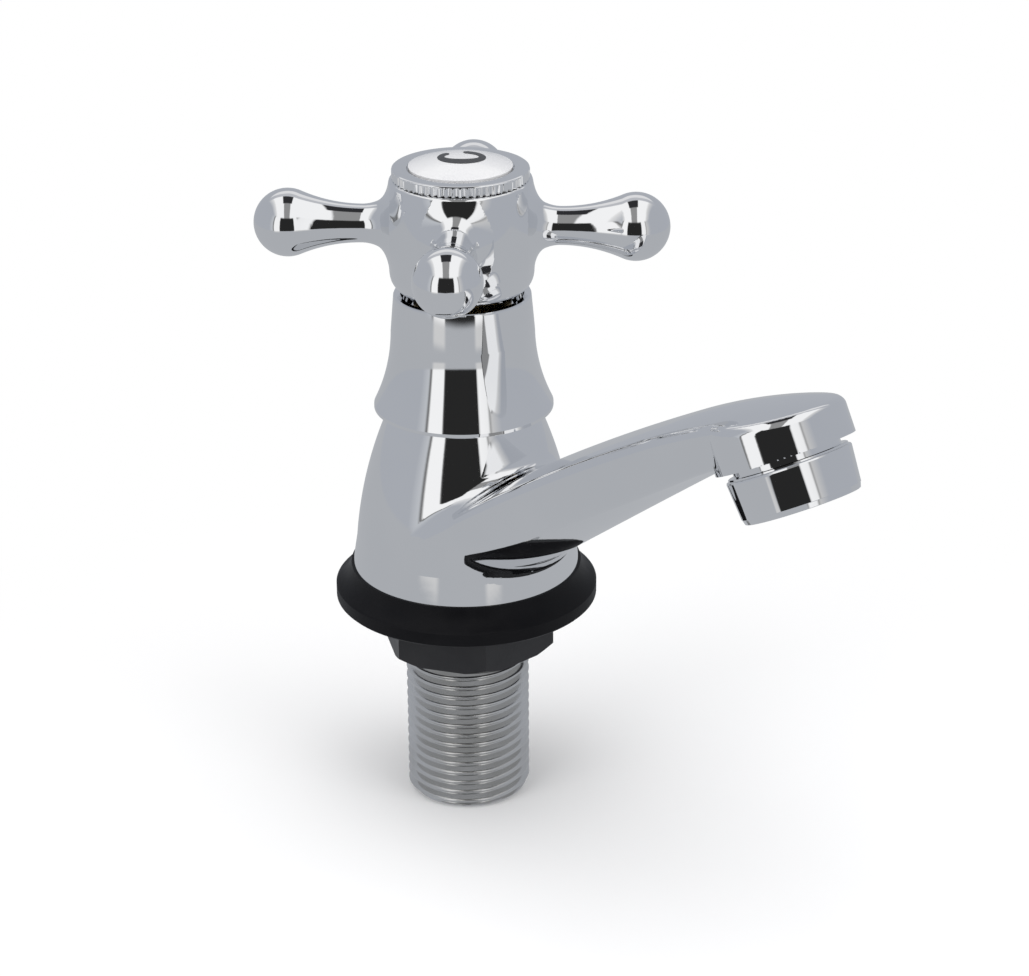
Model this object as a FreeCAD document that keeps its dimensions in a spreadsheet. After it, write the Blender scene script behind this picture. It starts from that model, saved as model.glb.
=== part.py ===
import FreeCAD, Part
import Sketcher
import math
import os

# A single basin tap with a cross handle, an assembly of its loose pieces, in millimetres.
# +Z is up, the spout points to -Y, and the origin lies on the deck under the middle of the base.
# Heights are measured from the deck, so what hangs below it is negative.

Vector = FreeCAD.Vector

SIZES = {
    # inlet tail, washer and nut
    "tail_radius": (10.4775, "G 1/2 thread, outside"),
    "tail_pitch_radius": (9.9, "G 1/2 thread where a nut is on it, drawn at its pitch line"),
    "tail_bore": (7.2, "waterway in the tail"),
    "tail_length": (36.66, "deck to the tail's end"),
    "tail_chamfer": (0.7, "end of the thread"),
    "tail_spigot_radius": (9.3, "tail's upper end, inside the body"),
    "tail_spigot_length": (8.0, "depth of the tail in the body"),
    "tail_step": (0.5, "slope under the nut, where the thread begins"),
    "tail_seal_thickness": (1.2, "ring on the tail's upper end"),
    "washer_floor": (4.6, "rubber between body and deck"),
    "washer_radius": (21.95, "widest, at the deck"),
    "washer_edge": (2.6, "upright outer edge of the washer"),
    "washer_corner": (0.3, "broken corners of that edge"),
    "washer_hole_gap": (0.3, "washer's hole to the tail"),
    "washer_lip_height": (6.0, "top of the lip that hugs the body"),
    "washer_lip_radius": (19.3, "top of the lip, outside"),
    "washer_hollow": (5.0, "radius of the hollow curve from edge to lip"),
    "washer_recess_radius": (16.5, "hollow under the washer"),
    "washer_recess_depth": (1.0, "depth of that hollow"),
    "nut_flange_radius": (15.2, "round flange of the backnut"),
    "nut_flange_height": (2.6, "flange thickness"),
    "nut_across_flats": (26.5, "hexagon of the backnut"),
    "nut_drop": (8.95, "deck to the nut's lower face"),
    "nut_chamfer": (1.5, "lower corners of the hexagon, inward"),
    "nut_chamfer_rise": (1.1, "lower corners of the hexagon, upward"),
    "nut_mouth_gap": (0.3, "nut's mouth round the thread's crests"),
    "nut_mouth_depth": (0.4, "nut's mouth"),
    "nut_mouth_slope": (0.6, "nut's mouth to its threaded hole"),
    # body casting
    "base_radius": (18.97, "foot of the cone"),
    "band_height": (4.7, "plain band above the washer's lip"),
    "band_top_radius": (18.2, "band, top"),
    "cone_height": (24.8, "washer's lip to the shroud's seam"),
    "cone_top_radius": (13.45, "cone at the seam"),
    "cone_bulge": (71.0, "radius of the cone's swelling side"),
    "seat_height": (17.0, "valve seat"),
    "seat_bore": (5.0, "hole through the seat"),
    "seat_lip": (6.2, "outside of the raised seat"),
    "seat_lip_height": (2.0, "seat above the chamber's floor"),
    "chamber_radius": (9.3, "water chamber round the valve"),
    "headwork_thread_radius": (10.35, "headwork's screwed end"),
    "headwork_thread_length": (6.6, "depth of the headwork in the body"),
    # spout
    "reach": (70.7, "tap's axis to the outlet's centre"),
    "outlet_height": (46.76, "deck to the outlet face's centre"),
    "outlet_tilt": (27.9, "outlet's lean from upright, degrees"),
    "head_radius": (10.72, "round head at the spout's end"),
    "spout_depth": (9.58, "head's face, produced, to the spout's top where the tip's bend starts"),
    "tip_setback": (16.1, "head's axis to that place, along the face"),
    "tip_bend": (87.0, "long radius of the top over the head"),
    "top_root_height": (15.8, "spout's top, produced to the tap's axis"),
    "top_bend": (430.0, "long radius of the top along the arm"),
    "crown_radius": (44.0, "cross radius of the spout's top"),
    "root_half_width": (16.0, "half the spout's width at the tap's axis"),
    "spout_draft": (5.0, "lean of the spout's sides, degrees"),
    "shoulder_root_reach": (9.8, "where the sides' lower edge leaves the cone"),
    "shoulder_root_height": (13.0, "its height there"),
    "shoulder_head_reach": (5.7, "head's axis back to where that edge meets the head"),
    "shoulder_step": (1.0, "that edge above the head's face"),
    "keel_root_reach": (18.0, "where the middle of the underside leaves the cone"),
    "keel_root_height": (10.6, "its height there"),
    "keel_step": (0.8, "middle of the underside above the head's face"),
    "edge_round": (2.2, "rounding of the spout's top edges"),
    "shoulder_round": (2.4, "rounding of the sides' lower edge at the head"),
    "root_round": (1.4, "fillet between spout and cone"),
    "head_shoulder": (0.3, "spout's side behind the head's side, at its top edge"),
    "head_height": (24.0, "round head before the spout's top cuts it"),
    "head_top_drop": (1.4, "spout's top over the head's axis, below the tip's first point"),
    "shoulder_round_start": (0.5, "rounding of the sides' lower edge at the cone"),
    "loft_start": (2.0, "reach of the arm's first section, inside the cone"),
    "loft_overlap": (1.8, "arm's last section past the head's axis"),
    "loft_rise": (20.0, "height of the arm's sides before the top cuts them"),
    "belly_least": (0.05, "least bulge of the arm's underside"),
    "spout_floor": (1.0, "washer's lip to the lowest the spout may reach"),
    "passage_radius": (3.2, "waterway at the chamber"),
    "passage_head_radius": (1.9, "waterway at the head"),
    "passage_bend_reach": (38.2, "reach of the place where the waterway turns up"),
    "passage_floor": (2.6, "metal under the waterway at that place"),
    "passage_end_back": (4.4, "head's axis back to the waterway's end"),
    "passage_end_depth": (6.0, "head's face to the waterway's end"),
    # aerator
    "outlet_thread_radius": (8.25, "screwed hole in the head"),
    "outlet_thread_depth": (4.0, "its depth"),
    "outlet_cavity_radius": (5.4, "cavity above it"),
    "outlet_cavity_depth": (5.3, "head's face to the cavity's top"),
    "outlet_pocket_radius": (3.4, "pocket above the cavity, where the waterway comes in"),
    "outlet_pocket_back": (2.2, "head's axis back to the pocket's axis"),
    "outlet_pocket_depth": (6.6, "head's face to the pocket's top"),
    "aerator_neck": (1.29, "groove between head and ring"),
    "aerator_top_radius": (9.62, "ring, upper edge"),
    "aerator_end_radius": (9.06, "ring, lower edge"),
    "aerator_drop": (8.05, "head's face to the ring's end"),
    "aerator_edge": (0.3, "broken edge at the ring's end"),
    "aerator_top_edge": (0.2, "broken edge at the ring's top"),
    "aerator_lip": (0.8, "lip under the screen, inward"),
    "aerator_lip_height": (0.9, "lip under the screen"),
    "aerator_thread_edge": (0.4, "broken edge of the ring's thread"),
    "aerator_washer_thickness": (1.0, "outlet washer"),
    "insert_radius": (6.9, "cartridge"),
    "insert_wall": (1.1, "cartridge's wall"),
    "insert_floor": (1.6, "cartridge's pierced floor"),
    "insert_end": (1.6, "ring's end to the cartridge's end"),
    "insert_hole": (0.9, "half the width of the cartridge's holes"),
    "insert_hole_ring": (3.86, "axis to those holes"),
    "screen_thickness": (0.6, "outlet screen"),
    "screen_hole": (0.85, "half the width of the screen's holes"),
    "screen_outer_ring": (4.69, "axis to the outer holes"),
    "screen_inner_ring": (2.35, "axis to the inner holes"),
    # shroud
    "shroud_wall": (1.15, "thickness of the bell"),
    "shroud_skirt_radius": (14.77, "widest, above the seam"),
    "shroud_skirt_rise": (3.4, "seam to the widest place"),
    "shroud_skirt_inset": (0.25, "bend below the widest place, inward"),
    "shroud_skirt_drop": (0.35, "bend below the widest place, downward"),
    "shroud_skirt_hollow": (0.3, "extra wall inside the widest place"),
    "shroud_rim_edge": (0.3, "broken edge of the rim"),
    "shroud_waist_radius": (11.75, "where the flare ends"),
    "shroud_waist_rise": (16.2, "seam to that place"),
    "shroud_rim_radius": (11.2, "rim under the handle"),
    "shroud_height": (22.7, "seam to the rim"),
    "shroud_flare": (30.0, "radius of the hollow flare"),
    "shroud_collar_rise": (14.7, "seam to the collar inside"),
    "shroud_collar_height": (3.0, "the collar inside"),
    "shroud_collar_gap": (0.1, "collar to the headwork's neck"),
    "shroud_collar_slope": (0.6, "slope under the collar"),
    # headwork
    "headwork_flange_radius": (11.4, "round shoulder under the hexagon"),
    "headwork_flange_height": (1.2, "shoulder"),
    "headwork_across_flats": (19.0, "hexagon for the spanner"),
    "headwork_hex_height": (5.2, "hexagon"),
    "headwork_seal_thickness": (0.8, "ring under the headwork"),
    "headwork_neck_radius": (8.0, "neck inside the shroud"),
    "headwork_neck_step": (0.6, "cone from hexagon to neck"),
    "headwork_top": (56.5, "top of the neck"),
    "headwork_end_gap": (0.2, "headwork's end above the chamber's edge"),
    "turned_edge": (0.5, "broken edges of turned pieces"),
    "guide_across_flats": (14.0, "hexagonal guide inside the headwork"),
    "guide_gap": (0.1, "carrier to guide, each side"),
    "collar_chamber_radius": (6.7, "round room for the spindle's collar"),
    "collar_shoulder": (41.0, "height of the shoulder above the collar"),
    "collar_play": (0.6, "room under the spindle's collar"),
    # spindle and what it moves
    "spindle_radius": (5.0, "spindle in its bore"),
    "running_gap": (0.05, "radial play of turning pairs"),
    "collar_radius": (6.5, "spindle's collar"),
    "collar_height": (2.0, "spindle's collar"),
    "thrust_thickness": (0.6, "low friction ring"),
    "stem_radius": (4.0, "threaded stem, and splined top"),
    "stem_end": (30.2, "lower end of the stem"),
    "spline_start": (57.6, "height where the splines begin"),
    "spindle_top": (65.5, "top of the spindle"),
    "stem_edge": (0.4, "broken edges of the stem's ends"),
    "clip_rise": (0.05, "headwork's top to the clip's groove"),
    "clip_play": (0.05, "groove wider than the clip"),
    "clip_mouth": (3.5, "half the width of the clip's mouth"),
    "clip_thickness": (0.8, "retaining clip"),
    "clip_radius": (6.3, "retaining clip, outside"),
    "groove_radius": (4.4, "bottom of the clip's groove"),
    "ring_section": (0.7, "thickness radius of the spindle's seals"),
    "ring_groove_radius": (3.6, "bottom of their grooves"),
    "ring_wall_gap": (0.03, "those seals to the headwork's bore"),
    "ring_first": (2.6, "shoulder to the lower seal's middle"),
    "ring_spacing": (4.0, "lower to upper seal"),
    "groove_play": (0.1, "grooves wider than their seals, each side"),
    "shroud_ring_section": (0.75, "thickness radius of the shroud's seal"),
    "shroud_ring_gap": (0.01, "that seal to its groove and to the collar"),
    "carrier_top": (33.8, "top of the carrier when the tap is shut"),
    "carrier_foot_radius": (6.8, "round foot of the carrier"),
    "carrier_foot_height": (2.0, "round foot of the carrier"),
    "carrier_bore_end": (26.0, "bottom of the carrier's threaded hole"),
    "valve_washer_thickness": (2.9, "rubber that shuts the seat"),
    "valve_washer_radius": (6.9, "rubber that shuts the seat"),
    "washer_screw_radius": (2.0, "screw of the rubber"),
    "washer_screw_head": (3.2, "head radius of that screw"),
    "washer_screw_head_height": (1.8, "head of that screw"),
    "washer_screw_edge": (0.6, "rounded edge of that head"),
    "washer_screw_length": (7.0, "screw above the rubber's face"),
    "screw_end_gap": (0.5, "room past the end of a screw"),
    "drill_tip": (1.0, "pointed end of the spindle's screw hole"),
    # handle
    "handle_turned": (44.0, "arms, counted from +X, degrees"),
    "hub_bottom": (54.4, "lower edge of the hub"),
    "hub_top": (72.72, "upper face of the hub"),
    "hub_neck_radius": (10.2, "lower edge of the hub"),
    "hub_low_radius": (11.72, "hub where its swelling starts"),
    "hub_low_rise": (3.7, "lower edge to that place"),
    "hub_bend_rise": (1.67, "lower edge to the bend under that place"),
    "hub_bend_inset": (0.25, "that bend, inward"),
    "hub_high_radius": (11.5, "hub near its top"),
    "hub_swell": (65.0, "radius of the hub's side"),
    "hub_edge": (0.5, "upper edge"),
    "hub_hollow_radius": (9.0, "hollow under the hub"),
    "hub_hollow_depth": (3.4, "hollow under the hub"),
    "bush_radius": (6.1, "splined insert"),
    "bush_length": (7.6, "splined insert"),
    "bush_rise": (0.4, "start of the splines to the insert"),
    "web_thickness": (1.6, "metal above the insert"),
    "arm_height": (64.93, "axis of the arms"),
    "arm_start": (9.4, "arms begin inside the hub's wall"),
    "flare_start": (11.0, "reach where an arm's flare begins"),
    "flare_radius": (6.25, "flare of an arm into the hub"),
    "neck_reach": (16.0, "thinnest place of an arm"),
    "neck_radius": (3.1, "thinnest place of an arm"),
    "bulb_reach": (27.95, "centre of the bulb"),
    "bulb_radius": (5.5, "bulb at an arm's end"),
    "screw_radius": (2.45, "handle screw"),
    "screw_depth": (8.0, "handle screw in the spindle"),
    "screw_head_radius": (4.2, "handle screw's head"),
    "screw_head_height": (2.2, "handle screw's head"),
    "screw_socket": (4.0, "hexagonal socket, across flats"),
    "screw_socket_depth": (1.5, "hexagonal socket"),
    "screw_hole_gap": (0.25, "screw to the hub's hole"),
    # index
    "ring_radius": (11.04, "knurled ring"),
    "ring_height": (1.78, "knurled ring above the hub"),
    "ring_gap": (0.04, "ring to hub, screwed up to its face"),
    "ring_edge_drop": (0.2, "broken upper edge of the ring, downward"),
    "ring_edge": (0.25, "broken upper edge of the ring, inward"),
    "ring_spigot_radius": (8.95, "ring's screwed part"),
    "ring_spigot_depth": (3.0, "ring's screwed part"),
    "ring_bore": (6.4, "hole through the ring"),
    "disc_radius": (8.36, "index disc"),
    "disc_gap": (0.05, "disc to the ring's recess"),
    "disc_seat_depth": (1.3, "disc in the ring"),
    "disc_rim_rise": (0.25, "disc's edge above the ring"),
    "disc_dome": (1.4, "height of the dome"),
    "fit_gap": (0.02, "play of pieces that are fixed together"),
    "overrun": (1.0, "how far a cutting shape runs past the metal"),
}

# Counts of holes, and shapes that only cut others and reach well past them.
INSERT_HOLES = 8
SCREEN_OUTER_HOLES = 12
SCREEN_INNER_HOLES = 6
CUTTER_SIDE = 8.0
CUTTER_DEPTH = 40.0
CUTTER_BOX = 200.0
ARM_SWEEP = -12
HEAD_SWEEP = 30
LOFT_SHARES = (0, 0.33, 0.67, 1)

# Where edges are looked for, so that each rounding finds its own.
EDGE_MARGIN = 0.5
STEEP = 0.5
LEVEL = 0.7
SPOUT_SIDE = -5.0


class Size:
    """A length from the sheet: its expression there, and its value now."""

    def __init__(self, text, value):
        self.text = text
        self.value = float(value)

    @staticmethod
    def of(other):
        return other if isinstance(other, Size) else Size(repr(float(other)), other)

    def __add__(self, other):
        other = Size.of(other)
        return Size(f"({self.text} + {other.text})", self.value + other.value)

    def __sub__(self, other):
        other = Size.of(other)
        return Size(f"({self.text} - {other.text})", self.value - other.value)

    def __mul__(self, other):
        other = Size.of(other)
        return Size(f"({self.text} * {other.text})", self.value * other.value)

    def __truediv__(self, other):
        other = Size.of(other)
        return Size(f"({self.text} / {other.text})", self.value / other.value)

    def __radd__(self, other):
        return Size.of(other) + self

    def __rsub__(self, other):
        return Size.of(other) - self

    def __rmul__(self, other):
        return Size.of(other) * self

    def __neg__(self):
        return Size(f"(0 - {self.text})", -self.value)

    def root(self):
        return Size(f"sqrt({self.text})", math.sqrt(self.value))


ZERO = Size("0", 0.0)

doc = FreeCAD.newDocument("cross_handle_tap")
sheet = doc.addObject("Spreadsheet::Sheet", "Sizes")
for row, (alias, (value, note)) in enumerate(SIZES.items(), 1):
    sheet.set(f"A{row}", alias)
    sheet.set(f"B{row}", str(value))
    sheet.set(f"C{row}", note)
    sheet.setAlias(f"B{row}", alias)
doc.recompute()
S = {alias: Size(f"Sizes.{alias}", sheet.get(alias)) for alias in SIZES}
V = {alias: size.value for alias, size in S.items()}


# ---------------------------------------------------------------- tools for the pieces

def new_body(label):
    body = doc.addObject("PartDesign::Body", label)
    body.Label = label
    return body


def plane_of(body, role):
    return next(f for f in body.Origin.OriginFeatures if f.Role == role)


def arc_between(a, b, radius, turn):
    """The short arc of this radius from a to b; turn 1 bows to the right of the way, -1 to the left."""
    middle = (a + b) * 0.5
    half = (b - a).Length / 2
    normal = Vector(-(b - a).y, (b - a).x, 0).normalize()
    centre = middle + normal * turn * math.sqrt(radius**2 - half**2)
    crest = centre + (middle - centre).normalize() * radius
    return Part.Arc(a, crest, b)


def add_profile(body, name, role, path):
    """A closed sketch through path's points; a (turn, radius) pair before a point makes an arc to it."""
    sketch = body.newObject("Sketcher::SketchObject", name)
    sketch.AttachmentSupport = [(plane_of(body, role), "")]
    sketch.MapMode = "FlatFace"
    points, arcs = [], {}
    for step in path:
        if isinstance(step[0], Size) or len(step) == 3:
            points.append((Size.of(step[0]), Size.of(step[1])))
        else:
            arcs[len(points)] = step
    spots = [Vector(x.value, y.value, 0) for x, y in points]
    count = len(points)
    for i in range(count):
        a, b = spots[i], spots[(i + 1) % count]
        bend = arcs.get(i + 1)
        if bend:
            sketch.addGeometry(arc_between(a, b, bend[1].value, bend[0]), False)
        else:
            sketch.addGeometry(Part.LineSegment(a, b), False)

    def ends(i):
        """The geometry's start and end positions, which swap on an arc that runs clockwise."""
        bend = arcs.get(i + 1)
        return (2, 1) if bend and bend[0] < 0 else (1, 2)

    for i in range(count):
        following = (i + 1) % count
        sketch.addConstraint(
            Sketcher.Constraint("Coincident", i, ends(i)[1], following, ends(following)[0])
        )
    for i, (x, y) in enumerate(points):
        for kind, size in (("DistanceX", x), ("DistanceY", y)):
            number = sketch.addConstraint(
                Sketcher.Constraint(kind, -1, 1, i, ends(i)[0], size.value)
            )
            sketch.setExpression(f"Constraints[{number}]", size.text)
    for i, bend in ((i - 1, bend) for i, bend in arcs.items()):
        number = sketch.addConstraint(Sketcher.Constraint("Radius", i, bend[1].value))
        sketch.setExpression(f"Constraints[{number}]", bend[1].text)
    return sketch


def revolve(body, sketch, axis="V_Axis", kind="Revolution"):
    feature = body.newObject(f"PartDesign::{kind}", f"{body.Name}_{kind}")
    feature.Profile = sketch
    feature.ReferenceAxis = (sketch, [axis])
    feature.Angle = 360
    sketch.Visibility = False
    return feature


def turned(label, path):
    """A piece turned about the upright axis from half its section."""
    body = new_body(label)
    revolve(body, add_profile(body, f"{label}_section", "XZ_Plane", path))
    return body


def ring_path(inner, outer, low, high):
    return [(inner, low), (outer, low), (outer, high), (inner, high)]


def hexagon(body, name, across_flats):
    """A hexagon on the ground plane of the body, with corners on +X and -X."""
    corner = across_flats / math.sqrt(3)
    flat = across_flats / 2
    half = corner / 2
    return add_profile(
        body,
        name,
        "XY_Plane",
        [(corner, ZERO), (half, flat), (-half, flat), (-corner, ZERO), (-half, -flat), (half, -flat)],
    )


def raise_sketch(sketch, height):
    sketch.AttachmentOffset = FreeCAD.Placement(Vector(0, 0, height.value), FreeCAD.Rotation())
    sketch.setExpression("AttachmentOffset.Base.z", height.text)


def pad(body, sketch, height, kind="Pad"):
    """Adds, or with kind Pocket takes away, the sketch's outline upward for this height."""
    feature = body.newObject(f"PartDesign::{kind}", f"{sketch.Name}_{kind}")
    feature.Profile = sketch
    feature.Length = height.value
    feature.setExpression("Length", height.text)
    feature.Reversed = kind == "Pocket"
    sketch.Visibility = False
    return feature


def torus(label, middle, section, height):
    ring = doc.addObject("Part::Torus", label)
    ring.Label = label
    ring.setExpression("Radius1", middle.text)
    ring.setExpression("Radius2", section.text)
    ring.setExpression("Placement.Base.z", height.text)
    return ring


# ---------------------------------------------------------------- shared heights

foot = S["washer_floor"]
lip = S["washer_lip_height"]
seam = lip + S["cone_height"]
rim = seam + S["shroud_height"]
tail_end = -S["tail_length"]
nut_bottom = -S["nut_drop"]
chamber_floor = S["seat_height"] - S["seat_lip_height"]
thread_bottom = seam - S["headwork_thread_length"]
hex_bottom = seam + S["headwork_seal_thickness"] + S["headwork_flange_height"]
hex_top = hex_bottom + S["headwork_hex_height"]
collar_top = S["collar_shoulder"] - S["thrust_thickness"]
collar_bottom = collar_top - S["collar_height"]
washer_top = S["seat_height"] + S["valve_washer_thickness"]
collar_middle = seam + S["shroud_collar_rise"] + S["shroud_collar_height"] / 2
clip_bottom = S["headwork_top"] + S["clip_rise"]
bush_bottom = S["spline_start"] + S["bush_rise"]
bush_top = bush_bottom + S["bush_length"]
web_top = bush_top + S["web_thickness"]


# ---------------------------------------------------------------- inlet

def make_tail():
    """Tube with the G 1/2 thread outside; its upper end is screwed into the body."""
    spigot_top = foot + S["tail_spigot_length"] - S["tail_seal_thickness"]
    return turned("threaded_tail", [
        (S["tail_bore"], tail_end),
        (S["tail_radius"] - S["tail_chamfer"], tail_end),
        (S["tail_radius"], tail_end + S["tail_chamfer"]),
        (S["tail_radius"], nut_bottom),
        (S["tail_pitch_radius"], nut_bottom + S["tail_step"]),
        (S["tail_pitch_radius"], foot),
        (S["tail_spigot_radius"], foot),
        (S["tail_spigot_radius"], spigot_top),
        (S["tail_bore"], spigot_top),
    ])


def make_tail_seal():
    top = foot + S["tail_spigot_length"]
    return turned("tail_seal", ring_path(
        S["tail_bore"], S["tail_spigot_radius"], top - S["tail_seal_thickness"], top))


def make_base_washer():
    """Rubber cup: a thick edge on the deck, a hollow slope up to a lip that hugs the body's foot."""
    hole = S["tail_pitch_radius"] + S["washer_hole_gap"]
    snug = S["base_radius"] + S["fit_gap"]
    return turned("base_washer", [
        (S["washer_recess_radius"], ZERO),
        (S["washer_radius"] - S["washer_corner"], ZERO),
        (S["washer_radius"], S["washer_corner"]),
        (S["washer_radius"], S["washer_edge"] - S["washer_corner"]),
        (S["washer_radius"] - S["washer_corner"], S["washer_edge"]),
        (-1, S["washer_hollow"]),
        (S["washer_lip_radius"], lip),
        (snug, lip),
        (snug, foot),
        (hole, foot),
        (hole, S["washer_recess_depth"]),
        (S["washer_recess_radius"], S["washer_recess_depth"]),
    ])


def make_backnut():
    """Plastic nut: round flange against the washer, hexagon below."""
    body = new_body("backnut")
    outline = hexagon(body, "nut_hexagon", S["nut_across_flats"])
    raise_sketch(outline, nut_bottom)
    pad(body, outline, S["nut_drop"])
    corner = S["nut_across_flats"] / math.sqrt(3)
    chamfer = add_profile(body, "nut_chamfer_section", "XZ_Plane", [
        (corner - S["nut_chamfer"], nut_bottom),
        (corner - S["nut_chamfer"], nut_bottom - S["overrun"]),
        (corner + S["overrun"], nut_bottom - S["overrun"]),
        (corner + S["overrun"], nut_bottom + S["nut_chamfer_rise"]),
        (corner, nut_bottom + S["nut_chamfer_rise"]),
    ])
    revolve(body, chamfer, kind="Groove")
    flange = add_profile(body, "nut_flange_section", "XZ_Plane", [
        (S["tail_radius"], S["washer_recess_depth"] - S["nut_flange_height"]),
        (S["nut_flange_radius"], S["washer_recess_depth"] - S["nut_flange_height"]),
        (S["nut_flange_radius"], S["washer_recess_depth"]),
        (S["tail_radius"], S["washer_recess_depth"]),
    ])
    revolve(body, flange)
    bore = S["tail_pitch_radius"] + S["fit_gap"]
    mouth = S["tail_radius"] + S["nut_mouth_gap"]
    mouth_top = nut_bottom + S["nut_mouth_depth"]
    hole = add_profile(body, "nut_bore_section", "XZ_Plane", [
        (ZERO, nut_bottom - S["overrun"]),
        (mouth, nut_bottom - S["overrun"]),
        (mouth, mouth_top),
        (bore, mouth_top + S["nut_mouth_slope"]),
        (bore, S["washer_recess_depth"] + S["overrun"]),
        (ZERO, S["washer_recess_depth"] + S["overrun"]),
    ])
    revolve(body, hole, kind="Groove")
    return body


# ---------------------------------------------------------------- body casting with its spout

def along(reach, height, side=0.0):
    """A point by its reach along the spout, its height above the deck and its sideways place."""
    return Vector(side, -reach, height)


def cylinder(radius, low, high):
    return Part.makeCylinder(radius, high - low, Vector(0, 0, low))


def outlet_directions():
    """Unit vectors at the outlet: down the water's way, and outward along the head's face."""
    tilt = math.radians(V["outlet_tilt"])
    down = Vector(0, -math.sin(tilt), -math.cos(tilt))
    out = Vector(0, -math.cos(tilt), math.sin(tilt))
    return down, out


def cone_solid():
    """The base cone: a plain band, then a side that swells on a long radius."""
    low = Vector(V["base_radius"], 0, foot.value)
    skirt = Vector(V["base_radius"], 0, lip.value)
    band = Vector(V["band_top_radius"], 0, lip.value + V["band_height"])
    top = Vector(V["cone_top_radius"], 0, seam.value)
    chord = top - band
    normal = Vector(chord.z, 0, -chord.x).normalize()
    middle = (band + top) * 0.5
    sagitta = V["cone_bulge"] - math.sqrt(V["cone_bulge"]**2 - (chord.Length / 2)**2)
    edges = [
        Part.makeLine(Vector(0, 0, foot.value), low),
        Part.makeLine(low, skirt),
        Part.makeLine(skirt, band),
        Part.Arc(band, middle + normal * sagitta, top).toShape(),
        Part.makeLine(top, Vector(0, 0, seam.value)),
        Part.makeLine(Vector(0, 0, seam.value), Vector(0, 0, foot.value)),
    ]
    return Part.Face(Part.Wire(edges)).revolve(Vector(), Vector(0, 0, 1), 360)


def face_line(back, depth, side=0.0):
    """A point by its place in the head: back from its axis along its face, and depth above that face."""
    down, out = outlet_directions()
    centre = along(V["reach"], V["outlet_height"])
    return centre - out * back - down * depth + Vector(side, 0, 0)


def top_limit():
    """What lies under the spout's top: a crowned arc swept along the arm, then tighter over the head."""
    turn = face_line(V["tip_setback"], V["spout_depth"])
    root = along(0, V["top_root_height"])
    chord = turn - root
    slope = math.atan2(chord.z, -chord.y) - math.asin(chord.Length / (2 * V["top_bend"]))
    inward = along(math.sin(slope), -math.cos(slope))
    half = V["root_half_width"] + CUTTER_SIDE
    drop = V["crown_radius"] - math.sqrt(V["crown_radius"]**2 - half**2)

    def at(side, depth):
        return turn + inward * depth + Vector(side, 0, 0)

    edges = [
        Part.Arc(at(-half, drop), at(0, 0), at(half, drop)).toShape(),
        Part.makeLine(at(half, drop), at(half, CUTTER_DEPTH)),
        Part.makeLine(at(half, CUTTER_DEPTH), at(-half, CUTTER_DEPTH)),
        Part.makeLine(at(-half, CUTTER_DEPTH), at(-half, drop)),
    ]
    face = Part.Face(Part.Wire(edges))
    over_arm = face.revolve(turn + inward * V["top_bend"], Vector(1, 0, 0), ARM_SWEEP)
    over_head = face.revolve(turn + inward * V["tip_bend"], Vector(1, 0, 0), HEAD_SWEEP)
    return over_arm.fuse(over_head)


def between(start, end, reach):
    """Height at this reach on the line from one point of the middle plane to another."""
    share = (reach + start.y) / (start.y - end.y)
    return start.z + (end.z - start.z) * share


def keel(reach):
    """Height of the middle of the spout's underside."""
    root = along(V["keel_root_reach"], V["keel_root_height"])
    return between(root, face_line(V["head_radius"], V["keel_step"]), reach)


def shoulder(reach):
    """Height of the lower edge of the spout's sides."""
    root = along(V["shoulder_root_reach"], V["shoulder_root_height"])
    return between(root, face_line(V["shoulder_head_reach"], V["shoulder_step"]), reach)


def head_top_reach():
    """Reach of the head's axis at the spout's top."""
    return -face_line(0, V["spout_depth"] - V["head_top_drop"]).y


def half_width(reach):
    """Half the spout's width at its top edge: from the root's width to just inside the head's."""
    share = reach / head_top_reach()
    at_head = V["head_radius"] - V["head_shoulder"]
    return V["root_half_width"] + (at_head - V["root_half_width"]) * share


def spout_blank():
    """The arm, lofted through upright sections with a bellied underside, and the round head."""
    down, out = outlet_directions()
    lean = math.tan(math.radians(V["spout_draft"]))
    first = V["loft_start"]
    last = head_top_reach() + V["loft_overlap"]
    rise = V["loft_rise"]
    sections = []
    for share in LOFT_SHARES:
        reach = first + (last - first) * share
        low = shoulder(reach)
        belly = min(keel(reach), low - V["belly_least"])
        narrow = half_width(reach) - lean * rise / 2
        wide = half_width(reach) + lean * rise / 2
        under = Part.Arc(along(reach, low, narrow), along(reach, belly), along(reach, low, -narrow))
        over = [
            along(reach, low, -narrow),
            along(reach, low + rise, -wide),
            along(reach, low + rise, wide),
            along(reach, low, narrow),
        ]
        sides = [Part.makeLine(a, b) for a, b in zip(over, over[1:])]
        sections.append(Part.Wire([under.toShape()] + sides))
    arm = Part.makeLoft(sections, True, False)
    head = Part.makeCylinder(V["head_radius"], V["head_height"], face_line(0, 0), down * -1)
    return arm, head


def shoulder_edges(arm):
    """The loft's two long lower edges, where the sides meet the bellied underside."""
    found = []
    for edge in arm.Edges:
        ends = [vertex.Point for vertex in edge.Vertexes]
        long = abs(ends[0].y - ends[-1].y) > V["reach"] / 2
        if long and abs(ends[0].z - shoulder(-ends[0].y)) < EDGE_MARGIN:
            found.append(edge)
    return found


def normal_at(face, point):
    u, v = face.Surface.parameter(point)
    return face.normalAt(u, v)


def top_edges(spout):
    """The edge of the spout's top, from the root along one side, round the head and back."""
    found = []
    for edge in spout.Edges:
        middle = edge.valueAt((edge.FirstParameter + edge.LastParameter) / 2)
        faces = spout.ancestorsOfType(edge, Part.Face)
        heights = sorted(normal_at(face, middle).z for face in faces)
        if len(faces) == 2 and heights[0] < STEEP and heights[1] > LEVEL and middle.y < SPOUT_SIDE:
            found.append(edge)
    return found


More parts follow.
